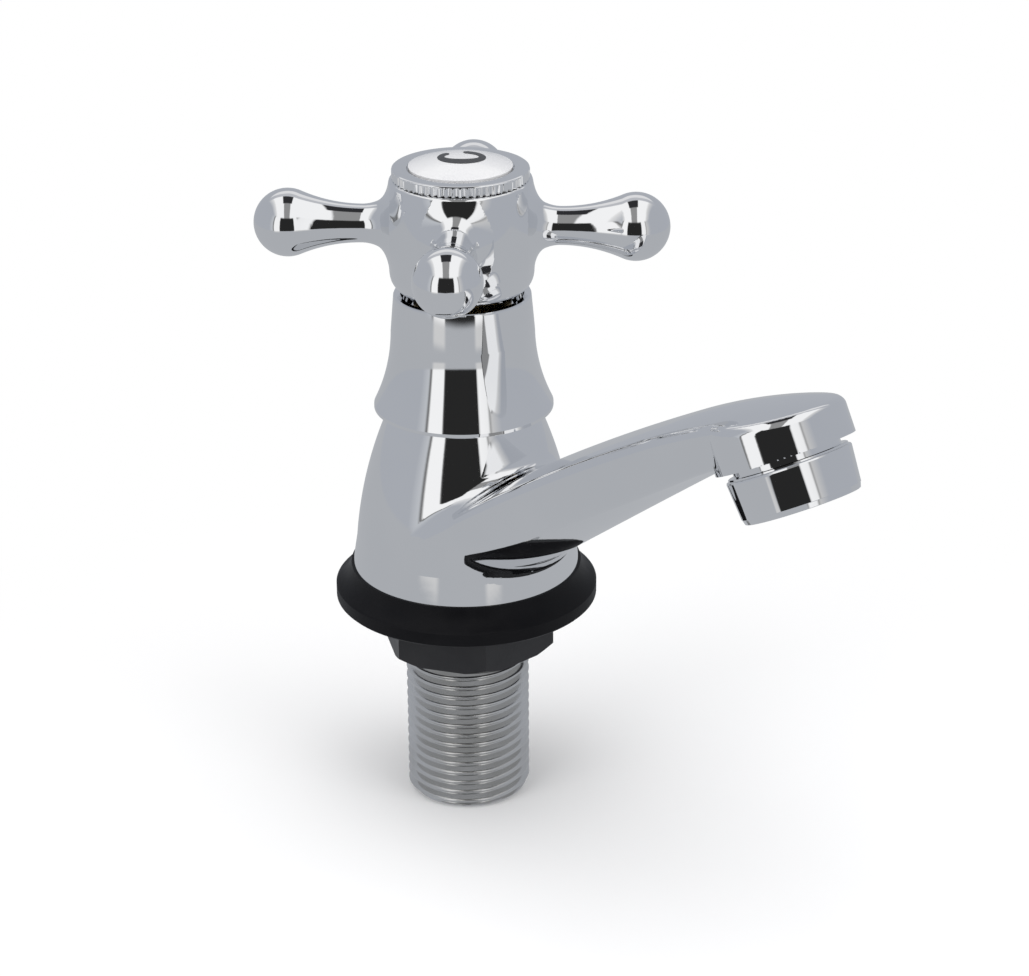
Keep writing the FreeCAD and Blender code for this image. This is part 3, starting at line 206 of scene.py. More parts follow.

# %% [markdown]
# ## The light tent
# Chrome has no colour of its own: it shows the room. The reflections in the photograph read as a
# light tent, mid grey all round, with a dark gap where the lens looks in, a bright panel at each
# side of the gap and a grey table below. The real studio isn't known, so these panels were placed
# until the reflections came close. The tent is a ball around everything. Only mirrors see
# it, so it paints the chrome and lights nothing. Its colour follows the direction from the tap:
# the bearing from the lens, and the height above the table.

# %% Light tent
TENT_RADIUS = 0.38
TENT_MIDDLE = 0.045
WALL = (0.430, 0.450, 0.490)
CEILING = (0.54, 0.55, 0.58)
TABLE = (0.450, 0.465, 0.490)
GAP = 0.022
COLUMN_GREY = 0.30
BACK_PANEL = (0.80, 0.80, 0.81, 1)
BLACK_PATCH = (0.03, 0.03, 0.033, 1)

tent_shape = bmesh.new()
bmesh.ops.create_uvsphere(tent_shape, u_segments=64, v_segments=32, radius=TENT_RADIUS)
bmesh.ops.reverse_faces(tent_shape, faces=tent_shape.faces)
tent_mesh = bpy.data.meshes.new("light_tent")
tent_shape.to_mesh(tent_mesh)
tent_shape.free()
tent = bpy.data.objects.new("light_tent", tent_mesh)
tent.location.z = TENT_MIDDLE
bpy.context.scene.collection.objects.link(tent)

cloth = bpy.data.materials.new("tent_cloth")
cloth.use_nodes = True
cloth.cycles.emission_sampling = "NONE"
tree = cloth.node_tree
tree.nodes.clear()
ways = add_node(tree, "ShaderNodeVectorMath", {"operation": "NORMALIZE"},
                _0=add_node(tree, "ShaderNodeTexCoord").outputs["Object"]).outputs[0]
parts = add_node(tree, "ShaderNodeSeparateXYZ", Vector=ways).outputs
east = math.sin(CAMERA_TURN)
south = -math.cos(CAMERA_TURN)
ahead = sum_of(tree, "ADD", sum_of(tree, "MULTIPLY", parts["X"], east),
               sum_of(tree, "MULTIPLY", parts["Y"], south))
aside = sum_of(tree, "SUBTRACT", sum_of(tree, "MULTIPLY", parts["X"], -south),
               sum_of(tree, "MULTIPLY", parts["Y"], -east))
bearing = sum_of(tree, "ARCTAN2", aside, ahead)
around = sum_of(tree, "ADD", sum_of(tree, "DIVIDE", bearing, 2 * math.pi), 0.5)


def height_of(degrees):
    return math.sin(math.radians(degrees))


PANELS = [
    (-62, WALL), (-51, (0.56, 0.58, 0.61)), (-48.5, 0.16), (-47, 0.16), (-45.5, 1.0),
    (-28, 1.0), (-26.5, GAP), (20, GAP), (21.5, 1.0), (33, 0.95), (35, 0.35), (38, 0.60),
    (50, WALL)]
PANEL_FEET = [
    (-48, TABLE), (-44, 0.66), (-29, 0.66), (-25, TABLE),
    (18, TABLE), (22, 0.66), (32, 0.64), (37, TABLE)]
SLOT = [
    (-0.70, WALL), (-0.57, 0.8), (-0.54, 1.0), (-0.22, 1.0), (-0.19, COLUMN_GREY),
    (0.09, COLUMN_GREY), (0.12, 1.0), (0.50, 1.0), (0.56, 0.7), (0.68, WALL)]
panels = ramp_of(tree, around, [(0.5 + turn / 360, colour) for turn, colour in PANELS])
slot = ramp_of(tree, sum_of(tree, "ADD", sum_of(tree, "MULTIPLY", aside, 0.5), 0.5),
               [(0.5 + place / 2, colour) for place, colour in SLOT])
up = parts["Z"]
roof = blend(tree, ease(tree, up, height_of(30), height_of(60)), (*WALL, 1), (*CEILING, 1))
back_levels = sum_of(tree, "MULTIPLY", ease(tree, up, height_of(33), height_of(37)),
                     ease(tree, up, height_of(50), height_of(54), 1.0, 0.0))
back = sum_of(tree, "MULTIPLY", ease(tree, ahead, -0.62, -0.54, 1.0, 0.0), back_levels)
roof = blend(tree, back, roof, BACK_PANEL)
patch_sides = sum_of(tree, "MULTIPLY", ease(tree, aside, -0.26, -0.23),
                     ease(tree, aside, 0.14, 0.17, 1.0, 0.0))
patch = sum_of(tree, "MULTIPLY", ease(tree, ahead, 0.06, 0.14, 1.0, 0.0), patch_sides)
slot = blend(tree, patch, slot, BLACK_PATCH)
high_room = blend(tree, ease(tree, ahead, -0.42, -0.36), roof, slot)
room = blend(tree, ease(tree, up, height_of(30), height_of(36)), panels, high_room)
feet = ramp_of(tree, around, [(0.5 + turn / 360, colour) for turn, colour in PANEL_FEET])
table = blend(tree, ease(tree, up, height_of(-14), height_of(-12.5)), (*TABLE, 1), feet)
room = blend(tree, ease(tree, up, height_of(-10.5), height_of(-9)), table, room)
light = add_node(tree, "ShaderNodeEmission", Color=room, Strength=1.0)
add_node(tree, "ShaderNodeOutputMaterial", Surface=light.outputs[0])
tent.data.materials.append(cloth)
for ray in ("camera", "diffuse", "transmission", "volume_scatter", "shadow"):
    setattr(tent, "visible_" + ray, False)
print("tent nodes", len(tree.nodes))

# %% [markdown]
# Three large soft lamps light the rubber, the plastic and the disc, and lay the soft shadow on
# the floor. Mirrors don't see them.

# %% Lamps
def add_lamp(name, place, size, power):
    light = bpy.data.lights.new(name, "AREA")
    light.shape = "RECTANGLE"
    light.size, light.size_y = size
    light.energy = power
    lamp = bpy.data.objects.new(name, light)
    lamp.location = place
    lamp.rotation_euler = (Vector((0, 0, 0.03)) - Vector(place)).to_track_quat("-Z", "Y").to_euler()
    lamp.visible_glossy = False
    bpy.context.scene.collection.objects.link(lamp)
    return lamp


add_lamp("lamp_above", (-0.1, -0.1, 0.9), (0.9, 0.9), 4.6)
add_lamp("lamp_left", (-0.75, -0.05, 0.45), (0.5, 0.7), 1.9)
add_lamp("lamp_right", (0.15, -0.8, 0.45), (0.5, 0.7), 1.9)

# %% [markdown]
# ## Chrome and the other metals
# Bright plate over a polished casting is a metal shader with almost no roughness, but a perfect
# mirror looks unreal. Two noises help: a wide one for the faint cloudiness that wiping leaves,
# which changes the roughness a little, and a very shallow bump for the waviness that polishing
# leaves under the plate. The other metals are the same recipe with more roughness.

# %% Metals
def noise(tree, scale, detail=2.0, roughness=0.5):
    place = add_node(tree, "ShaderNodeTexCoord").outputs["Object"]
    return add_node(tree, "ShaderNodeTexNoise", Vector=place, Scale=scale, Detail=detail,
                    Roughness=roughness).outputs["Fac"]


def spread(tree, value, low, high, start=0.3, end=0.7):
    return add_node(tree, "ShaderNodeMapRange", Value=value, From_Min=start, From_Max=end,
                    To_Min=low, To_Max=high).outputs[0]


def add_bump(tree, shader, value, distance, strength=1.0):
    bump = add_node(tree, "ShaderNodeBump", Height=value, Distance=distance, Strength=strength)
    tree.links.new(bump.outputs[0], shader.inputs["Normal"])


def metal(name, light, dark, smooth, rough, cloud_scale, wave, wave_scale):
    """A metal whose tint and roughness drift a little over its surface."""
    material, tree, shader = start_material(name, Metallic=1.0)
    clouds = noise(tree, cloud_scale)
    tint = ramp_of(tree, clouds, [(0.35, dark), (0.65, light)])
    tree.links.new(tint, shader.inputs["Base Color"])
    tree.links.new(spread(tree, clouds, smooth, rough), shader.inputs["Roughness"])
    add_bump(tree, shader, noise(tree, wave_scale), wave)
    return material


chrome = metal("chrome", (0.875, 0.88, 0.89), (0.855, 0.862, 0.875), 0.02, 0.05, 60,
               0.003 * MM, 220)
satin_nickel = metal("satin_nickel", (0.72, 0.72, 0.715), (0.62, 0.615, 0.60), 0.14, 0.26, 90,
                     0.006 * MM, 1500)
brass = metal("turned_brass", (0.86, 0.66, 0.32), (0.74, 0.54, 0.24), 0.16, 0.30, 80,
              0.006 * MM, 1200)
steel = metal("stainless_steel", (0.62, 0.62, 0.62), (0.54, 0.54, 0.55), 0.18, 0.32, 120,
              0.004 * MM, 1500)

# %% [markdown]
# ## Rubber, plastic and enamel
# These three are not metals. Rubber is nearly black with a broad, dull sheen and a faint mould
# grain. The nut's plastic is a shade lighter and a little smoother. The index disc is glossy
# white with a clear coat, and the cartridge inside the outlet is the same white, but matt.

# %% Rubber, plastic and enamel
def moulded(name, light, dark, smooth, rough, grain, grain_scale, specular=0.5, coat=0.0):
    material, tree, shader = start_material(name)
    shader.inputs["Specular IOR Level"].default_value = specular
    shader.inputs["Coat Weight"].default_value = coat
    shader.inputs["Coat Roughness"].default_value = 0.04
    clouds = noise(tree, 140, 3.0)
    tree.links.new(ramp_of(tree, clouds, [(0.3, dark), (0.7, light)]), shader.inputs["Base Color"])
    tree.links.new(spread(tree, clouds, smooth, rough), shader.inputs["Roughness"])
    add_bump(tree, shader, noise(tree, grain_scale, 2.0, 0.6), grain)
    return material


rubber = moulded("black_rubber", (0.006, 0.006, 0.007), (0.003, 0.003, 0.004), 0.40, 0.52,
                 0.02 * MM, 2600, specular=0.13)
nut_plastic = moulded("nut_plastic", (0.018, 0.018, 0.020), (0.012, 0.012, 0.014), 0.36, 0.48,
                      0.02 * MM, 2000, specular=0.4)
enamel = moulded("white_enamel", (0.73, 0.73, 0.735), (0.70, 0.70, 0.71), 0.18, 0.26,
                 0.004 * MM, 300, coat=0.5)
white_plastic = moulded("white_plastic", (0.80, 0.80, 0.78), (0.74, 0.74, 0.72), 0.4, 0.5,
                        0.01 * MM, 1500)
mark_paint = moulded("mark_paint", (0.030, 0.032, 0.036), (0.022, 0.023, 0.026), 0.35, 0.45,
                     0.01 * MM, 1200)

# %% [markdown]
# ## Dress the plain pieces
# Most pieces keep the shape they have in the frame, so they only need their finish.

# %% Dress the plain pieces
FINISHES = {
    chrome: ["tap_body", "bonnet_shroud", "handle", "aerator_housing", "index_ring"],
    satin_nickel: ["threaded_tail"],
    brass: ["headwork_body", "spindle", "jumper_carrier", "handle_bush"],
    steel: ["handle_screw", "washer_screw", "spindle_circlip", "aerator_screen"],
    rubber: ["base_washer", "tail_seal", "headwork_seal", "shroud_o_ring", "spindle_o_rings",
             "valve_washer", "aerator_washer"],
    nut_plastic: ["backnut"],
    enamel: ["index_disc"],
    white_plastic: ["aerator_insert", "thrust_washer"],
}
for finish, names in FINISHES.items():
    for name in names:
        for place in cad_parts[name].material_slots:
            place.material = finish
    print(finish.name, len(names))

# %% [markdown]
# ## Skin over a rule
# The body and the handle are castings: shapes that run into each other with soft joins. Each one
# is written here as a rule that gives, for any place, how far it lies outside the metal. Two
# shapes are joined by taking the smaller distance, with a rounded step between them, and cut by
# taking the larger one. The skin is then found on a grid of cells: every cell that the surface
# passes through gets one point, placed where the tangent planes in that cell meet, so that sharp
# edges stay sharp, and four neighbouring points make a face.

# %% Join, cut and skin
def join(first, second, radius):
    near = np.maximum(radius - first, 0)**2 + np.maximum(radius - second, 0)**2
    return np.maximum(radius, np.minimum(first, second)) - np.sqrt(near)


def common(first, second, radius):
    near = np.maximum(radius + first, 0)**2 + np.maximum(radius + second, 0)**2
    return np.minimum(-radius, np.maximum(first, second)) + np.sqrt(near)


def out_of(rule, places, step=0.002):
    """The direction straight out of the metal at each place."""
    rise = np.empty_like(places)
    for axis in range(3):
        shift = np.zeros(3)
        shift[axis] = step
        rise[:, axis] = rule(places + shift) - rule(places - shift)
    return rise / np.maximum(np.linalg.norm(rise, axis=1, keepdims=True), 1e-12)


def skin_points(rule, low, high, cell):
    cell = np.array(cell)
    low = np.array(low) - 1.37 * cell
    counts = np.ceil((np.array(high) + 1.41 * cell - low) / cell).astype(int) + 1
    lines = [low[axis] + cell[axis] * np.arange(counts[axis]) for axis in range(3)]
    y, z = np.meshgrid(lines[1], lines[2], indexing="ij")
    values = np.empty(counts)
    for i, x in enumerate(lines[0]):
        values[i] = rule(np.stack([np.full(y.size, x), y.ravel(), z.ravel()], 1)).reshape(y.shape)
    inside = values < 0

    # every grid edge that the skin crosses becomes one face of the four cells around it
    spots, cells, faces = [], [], []
    for axis in range(3):
        step = np.eye(3, dtype=int)[axis]
        before = tuple(slice(None, -1) if k == axis else slice(None) for k in range(3))
        after = tuple(slice(1, None) if k == axis else slice(None) for k in range(3))
        at = np.argwhere(inside[before] != inside[after])
        start, end = values[tuple(at.T)], values[tuple((at + step).T)]
        spot = low + cell * at
        spot[:, axis] += cell[axis] * start / (start - end)
        b, c = (axis + 1) % 3, (axis + 2) % 3
        around = []
        for db, dc in ((1, 1), (0, 1), (0, 0), (1, 0)):
            corner = at.copy()
            corner[:, b] -= db
            corner[:, c] -= dc
            around.append(np.ravel_multi_index(corner.T, counts))
        around = np.stack(around, 1)
        spots.append(spot)
        cells.append(around)
        faces.append(np.where((start < 0)[:, None], around, around[:, ::-1]))
    spots, cells, faces = map(np.concatenate, (spots, cells, faces))
    for _ in range(2):
        spots -= out_of(rule, spots) * rule(spots)[:, None]
    slope = out_of(rule, spots)

    # the point of a cell is where the planes through its crossings come closest to meeting
    names, number = np.unique(cells, return_inverse=True)
    number = number.reshape(cells.shape)
    tally = np.zeros(len(names))
    middle = np.zeros((len(names), 3))
    for k in range(4):
        np.add.at(tally, number[:, k], 1)
        np.add.at(middle, number[:, k], spots)
    middle /= tally[:, None]
    matrix = np.zeros((len(names), 3, 3))
    right = np.zeros((len(names), 3))
    for k in range(4):
        n = number[:, k]
        gap = ((spots - middle[n]) * slope).sum(1)
        np.add.at(matrix, n, slope[:, :, None] * slope[:, None, :])
        np.add.at(right, n, slope * gap[:, None])
    matrix += 0.05 * np.eye(3)
    meeting = np.linalg.solve(matrix, right[:, :, None])[:, :, 0]
    return middle + np.clip(meeting, -cell, cell), np.searchsorted(names, faces)


def make_skin(name, rule, low, high, cell):
    """A mesh of the rule's skin. Each face's corners are shaded by the rule's own direction."""
    points, faces = skin_points(rule, low, high, cell)
    mesh = bpy.data.meshes.new(name)
    mesh.from_pydata((points * MM).tolist(), [], faces.tolist())
    mesh.shade_smooth()
    corners = points[faces]
    pulled = corners + (corners.mean(1, keepdims=True) - corners) * 0.12
    mesh.normals_split_custom_set(out_of(rule, pulled.reshape(-1, 3)).tolist())
    piece = bpy.data.objects.new(name, mesh)
    bpy.context.scene.collection.objects.link(piece)
    print(name, len(points), "points", 2 * len(faces), "triangles",
          points.min(0).round(2).tolist(), points.max(0).round(2).tolist())
    return piece


def rod(p, start, end, radius, taper=0.0):
    """A round rod between two points; taper is how much thinner it is at its end."""
    run = np.linalg.norm(end - start)
    way = (end - start) / run
    along = (p - start) @ way
    aside = np.linalg.norm(p - start - along[:, None] * way, axis=1)
    return np.maximum(aside - radius + taper * along / run, np.maximum(-along, along - run))


def tube(p, radius, low, high):
    across = np.hypot(p[:, 0], p[:, 1])
    return np.maximum(across - radius, np.maximum(low - p[:, 2], p[:, 2] - high))


def arc_side(across, z, start, end, radius):
    """Distance outside a wall that bulges from start to end, both given as radius and height."""
    half = (np.array(end) - np.array(start)) / 2
    length = np.hypot(*half)
    normal = np.array((half[1], -half[0])) / length
    centre = (np.array(start) + np.array(end)) / 2 - normal * math.sqrt(radius**2 - length**2)
    return np.hypot(across - centre[0], z - centre[1]) - radius


# %% [markdown]
# ## The body
# The real body is one brass casting: a bulging cone on a flat foot, and a spout that leaves it
# low down and rises to a round head. The spout is a loft with leaning sides, a belly below and a
# crown above that bends down to the tip. On the casting the spout grows out of the cone with a
# soft fillet, which is what makes the reflections flow from one to the other, so the join here
# is rounded by 2.6 mm, falling to 1.1 mm at the foot. The cone's top goes on up inside the bell,
# past the place where the frame's cone stops.

# %% Body rule
FOOT, LIP, BAND_TOP, SEAM = 4.6, 6.0, 10.7, 30.8
CONE_END = 34.2
BASE_R, BAND_R, CONE_R, BULGE = 18.97, 18.2, 13.45, 71.0
REACH, OUTLET_Z, TILT = 70.7, 46.76, math.radians(27.9)
HEAD_R = 10.72
HEAD_TOP = 9.58
EDGE_START, KEEL_START = (9.8, 13.0), (18.0, 10.6)
ROOT_HALF, SIDE_LEAN, SIDE_MIDDLE = 16.0, 5.0, 10.0
TOP_BEND, TIP_BEND, CROWN = 430.0, 87.0, 44.0
down = np.array((0, -math.sin(TILT), -math.cos(TILT)))
out = np.array((0, -math.cos(TILT), math.sin(TILT)))
face_middle = np.array((0, -REACH, OUTLET_Z))


def in_head(back, depth):
    return face_middle - out * back - down * depth


turn_point = in_head(16.1, HEAD_TOP)
chord = turn_point - np.array((0, 0, 15.8))
slope = math.atan2(chord[2], -chord[1]) - math.asin(np.linalg.norm(chord) / (2 * TOP_BEND))
inward = np.array((0, -math.sin(slope), -math.cos(slope)))
outward = np.array((0, -math.cos(slope), math.sin(slope)))
head_reach = -in_head(0, HEAD_TOP - 1.4)[1]
head_low = in_head(5.7, 1.0)
head_keel = in_head(10.72, 0.8)


def keel_at(reach):
    start = np.array(KEEL_START)
    return start[1] + (head_keel[2] - start[1]) * (reach - start[0]) / (-head_keel[1] - start[0])


def rise(value, start, end):
    share = np.clip((value - start) / (end - start), 0, 1)
    return share * share * (3 - 2 * share)


def cone(p):
    across, z = np.hypot(p[:, 0], p[:, 1]), p[:, 2]
    side = arc_side(across, z, (BAND_R, BAND_TOP), (CONE_R, SEAM), BULGE)
    lean = (BASE_R - BAND_R) / (BAND_TOP - LIP)
    band = (across - BASE_R + lean * (z - LIP)) / math.hypot(1, lean)
    side = np.where(z > BAND_TOP, side, np.maximum(band, across - BASE_R))
    return np.maximum(side, z - CONE_END)


def spout(p):
    x, reach, z = np.abs(p[:, 0]), -p[:, 1], p[:, 2]
    root, low = EDGE_START
    edge = low + (head_low[2] - low) * (reach - root) / (-head_low[1] - root)
    keel = np.minimum(keel_at(reach), edge - 0.05)
    half_width = ROOT_HALF + (HEAD_R - 0.3 - ROOT_HALF) * reach / head_reach
    lean = math.tan(math.radians(SIDE_LEAN))
    side = (x - half_width - lean * (z - edge - SIDE_MIDDLE)) / 1.011
    narrow = half_width - lean * SIDE_MIDDLE
    belly = edge - keel
    bend = (narrow**2 + belly**2) / (2 * belly)
    under = (keel + bend - np.sqrt(np.maximum(bend**2 - x**2, 1.0)) - z) * 0.9
    arm = common(side, under, 0.5 + 1.9 * np.clip((reach - 2.0) / (head_reach - 0.2), 0, 1))
    arm = np.maximum(arm, reach - head_reach - 1.8)
    from_face = p - face_middle
    head = np.maximum(np.hypot(from_face[:, 0], from_face @ out) - HEAD_R, from_face @ down)
    crown = CROWN - np.sqrt(CROWN**2 - np.minimum(x, 30)**2)
    tops = []
    for radius in (TOP_BEND, TIP_BEND):
        centre = turn_point + inward * radius
        tops.append(np.hypot(p[:, 1] - centre[1], p[:, 2] - centre[2]) - (radius - crown))
    top = np.where((p - turn_point) @ outward > 0, tops[1], tops[0])
    edge_round = 1.7 - 0.6 * np.clip((reach - 58) / 12, 0, 1)
    return np.maximum(common(np.minimum(arm, head), top, edge_round), 7.0 - z)


# %% [markdown]
# The inside is hollow as in the frame: the inlet with the seat on its end, the chamber around
# the seat, the hole for the headwork, the waterway along the spout, and the screwed outlet.

# %% Body
HEADWORK_HOLE = 10.37
BELL_HOLE = 11.5
THREAD_BOTTOM = SEAM - 6.6
CHAMBER_FLOOR = 15.0
WATERWAY = 3.2
FOOT_FILLET, FILLET = 1.1, 2.6


def waterways(p):
    start = np.array((0, -6.1, CHAMBER_FLOOR + WATERWAY))
    bend = np.array((0, -38.2, keel_at(38.2) + 2.6 + WATERWAY))
    pocket = in_head(2.2, 0)
    hollows = [
        np.maximum(tube(p, 9.3, CHAMBER_FLOOR, THREAD_BOTTOM), -tube(p, 6.2, 0, 17.0)),
        tube(p, 9.32, 0, 12.6),
        tube(p, 5.0, 0, 18),
        tube(p, HEADWORK_HOLE, THREAD_BOTTOM, 40),
        tube(p, BELL_HOLE, SEAM, 40),
        rod(p, start, bend, WATERWAY),
        np.linalg.norm(p - bend, axis=1) - WATERWAY,
        rod(p, bend, in_head(4.4, 6.0), WATERWAY, 1.3),
        rod(p, face_middle + down, face_middle - down * 4.0, 8.25),
        rod(p, face_middle, face_middle - down * 5.3, 5.4),
        rod(p, pocket, pocket - down * 6.6, 3.4),
    ]
    return np.minimum.reduce(hollows)


def body_rule(p):
    fillet = FOOT_FILLET + (FILLET - FOOT_FILLET) * rise(p[:, 2], 7, 12)
    shape = join(cone(p), spout(p), fillet)
    shape = np.maximum(shape, FOOT - p[:, 2])
    return np.maximum(shape, -waterways(p))


body = make_skin("cast_body", body_rule, (-19, -81, FOOT), (19, 19, 56.3), (0.35, 0.6, 0.35))
body.data.materials.append(chrome)
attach(body, "tap")
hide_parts("tap_body")

# %% [markdown]
# ## The cross handle
# The handle is one casting too: a barrel hub with four arms. Each arm flares out of the hub,
# narrows to a neck, and swells into a ball. Seen in the photograph, the arms stand 44 degrees
# from the spout. The hub is hollow from above for the index ring, and from below for the spindle.

# %% Handle
ARM_Z = 64.93
ARM_TURN = math.radians(44)
NECK, BALL, FLARE = 3.1, 5.5, 6.25
NECK_AT, BALL_AT = 16.0, 27.95
HUB_LOW, HUB_TOP = 54.4, 72.72
ARM_ROOT = 11.0


def hub(p):
    across, z = np.hypot(p[:, 0], p[:, 1]), p[:, 2]
    upper = arc_side(across, z, (11.72, 58.1), (11.5, 72.22), 65.0)
    u = np.clip((58.1 - z) / 3.7, 0, 1.2)
    lower = (across - 11.72 + 1.52 * u**3) / np.sqrt(1 + (1.23 * u * u)**2)
    return np.where(z > 58.1, upper, lower)


def arms(p):
    z = p[:, 2] - ARM_Z
    span = BALL_AT - NECK_AT
    waist = (span**2 + NECK**2 - BALL**2) / (2 * (BALL - NECK))
    found = []
    for k in range(4):
        a = ARM_TURN + k * math.pi / 2
        along = p[:, 0] * math.cos(a) + p[:, 1] * math.sin(a)
        aside = np.hypot(-p[:, 0] * math.sin(a) + p[:, 1] * math.cos(a), z)
        ball = np.hypot(along - BALL_AT, aside) - BALL
        thin = waist - np.hypot(along - NECK_AT, np.maximum(NECK + waist - aside, 0))
        rest = NECK + FLARE - aside
        from_neck = np.maximum(along, ARM_ROOT) - NECK_AT
        wide = FLARE - np.hypot(from_neck, np.maximum(rest, 0)) + np.maximum(-rest, 0)
        split = NECK_AT + (NECK + waist - aside) * span / (NECK + waist)
        arm = np.where(along > split, ball, np.where(along > NECK_AT, thin, wide))
        found.append(np.maximum(arm, 9.4 - along))
    return np.minimum.reduce(found)


def handle_rule(p):
    shape = common(join(hub(p), arms(p), 1.6), p[:, 2] - HUB_TOP, 0.5)
    shape = np.maximum(shape, HUB_LOW - p[:, 2])
    for radius, low, high in ((8.97, 67.2, 80), (2.7, 60, 70), (6.12, 57, 65.6), (9.0, 50, 57.8)):
        shape = np.maximum(shape, -tube(p, radius, low, high))
    return shape


cross = make_skin("cross_handle", handle_rule, (-25.7, -25.7, HUB_LOW), (25.7, 25.7, HUB_TOP),
                  (0.34, 0.34, 0.34))
cross.data.materials.append(chrome)
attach(cross, "handle")
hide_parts("handle")

# %% [markdown]
# ## Turning a profile
# The bell, the tail, the outlet ring and the index ring are turned pieces, made here from half
# their section. The section is a closed path of radius and height; each corner becomes a ring of
# points, and the rings are joined with quads. Rings are added between the corners where a
# pattern has to bend the wall.

# %% Turning a profile
def turn_profile(name, section, sides, steps=None, place=None):
    """A closed turned mesh. steps gives how many pieces the run after a corner is cut into."""
    rings = []
    for i, (start, end) in enumerate(zip(section, section[1:] + section[:1])):
        pieces = (steps or {}).get(i, 1)
        for k in range(pieces):
            share = k / pieces
            rings.append((start[0] + (end[0] - start[0]) * share,
                          start[1] + (end[1] - start[1]) * share))
    points = []
    for radius, level in rings:
        for side in range(sides):
            angle = 2 * math.pi * side / sides
            point = Vector((radius * math.cos(angle), radius * math.sin(angle), level))
            points.append((place @ point if place else point) * MM)
    faces = []
    for i in range(len(rings)):
        j = (i + 1) % len(rings)
        for side in range(sides):
            after = (side + 1) % sides
            faces.append((i * sides + side, i * sides + after, j * sides + after, j * sides + side))
    mesh = bpy.data.meshes.new(name)
    mesh.from_pydata(points, [], faces)
    shape = bmesh.new()
    shape.from_mesh(mesh)
    bmesh.ops.recalc_face_normals(shape, faces=shape.faces)
    shape.to_mesh(mesh)
    shape.free()
    piece = bpy.data.objects.new(name, mesh)
    bpy.context.scene.collection.objects.link(piece)
    return piece


def shade(piece, sharp_angle):
    piece.data.shade_smooth()
    piece.data.set_sharp_from_angle(angle=math.radians(sharp_angle))


def arc_path(start, end, radius, pieces, hollow=False):
    """Points on an arc between two corners of a section, both ends included."""
    half = Vector((end[0] - start[0], end[1] - start[1])) / 2
    side = Vector((half.y, -half.x)).normalized() * (1 if hollow else -1)
    middle = Vector((start[0] + end[0], start[1] + end[1])) / 2
    centre = middle + side * math.sqrt(radius**2 - half.length_squared)
    first = Vector(start) - centre
    turn = 2 * math.asin(half.length / radius) * (-1 if hollow else 1)
    path = []
    for k in range(pieces + 1):
        a = turn * k / pieces
        path.append((centre.x + first.x * math.cos(a) - first.y * math.sin(a),
                     centre.y + first.x * math.sin(a) + first.y * math.cos(a)))
    return path


# %% [markdown]
# ## The bell and the outlet ring
# The bell hides the headwork. Its wall sweeps out in one long hollow arc and ends in a short
# edge that overhangs the cone. The outlet ring has a fine bead in its neck, a slightly tapered
# wall and a polished bevel at its end.

# %% Bell and outlet ring
BELL_LOW = 33.9
RIM = 53.5
flare = arc_path((14.74, BELL_LOW + 0.6), (11.75, 47.0), 30.0, 40, hollow=True)
lining = arc_path((10.6, 44.9), (13.1, BELL_LOW + 1.5), 31.15, 24, hollow=False)
BELL_SECTION = [
    (13.35, BELL_LOW), (14.66, BELL_LOW), (14.75, BELL_LOW + 0.08), *flare, (11.2, RIM - 0.3),
    (11.11, RIM - 0.09), (10.9, RIM), (10.05, RIM), (10.6, 48.5), (8.1, 48.5), (8.1, 45.5), *lining]
bell = turn_profile("bell", BELL_SECTION, 360)
shade(bell, 14)
bell.data.materials.append(chrome)
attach(bell, "tap")
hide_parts("bonnet_shroud")

outlet = Matrix.Translation((0, -REACH, OUTLET_Z)) @ Matrix.Rotation(-TILT, 4, "X")
RING_SECTION = [
    (6.92, 3.0), (6.92, -7.15), (6.12, -7.15), (6.12, -8.05), (8.74, -8.05), (8.86, -7.98),
    (9.07, -7.24), (9.15, -7.18), (9.58, -1.8), (9.6, -1.66), (9.5, -1.42), (9.2, -1.3),
    (9.16, -1.05), (9.0, -0.95), (8.23, -0.95), (8.23, 2.6), (7.83, 3.0)]
nozzle = turn_profile("outlet_ring", RING_SECTION, 288, place=outlet)
shade(nozzle, 24)
nozzle.data.materials.append(chrome)
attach(nozzle, "tap")
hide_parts("aerator_housing")

# %% [markdown]
# ## Patterns with Geometry Nodes
# A thread and a knurl follow a rule that depends only on the angle, the height and the distance
# from the axis. A small tree works those three out, and each pattern turns them into a new
# distance from the axis for every point.

# %% Geometry Nodes helpers
def start_pattern(name, sizes):
    tree = bpy.data.node_groups.new(name, "GeometryNodeTree")
    tree.is_modifier = True
    tree.interface.new_socket("Geometry", in_out="INPUT", socket_type="NodeSocketGeometry")
    for size, value in sizes.items():
        socket = tree.interface.new_socket(size, in_out="INPUT", socket_type="NodeSocketFloat")
        socket.default_value = value
    tree.interface.new_socket("Finish", in_out="INPUT", socket_type="NodeSocketMaterial")
    tree.interface.new_socket("Geometry", in_out="OUTPUT", socket_type="NodeSocketGeometry")
    given = tree.nodes.new("NodeGroupInput").outputs
    place = add_node(tree, "GeometryNodeInputPosition").outputs[0]
    parts = add_node(tree, "ShaderNodeSeparateXYZ", Vector=place).outputs
    angle = sum_of(tree, "ARCTAN2", parts["Y"], parts["X"])
    squares = sum_of(tree, "ADD", sum_of(tree, "MULTIPLY", parts["X"], parts["X"]),
                     sum_of(tree, "MULTIPLY", parts["Y"], parts["Y"]))
    radius = sum_of(tree, "SQRT", squares)
    turn = sum_of(tree, "DIVIDE", angle, 2 * math.pi)
    return tree, given, parts, turn, radius


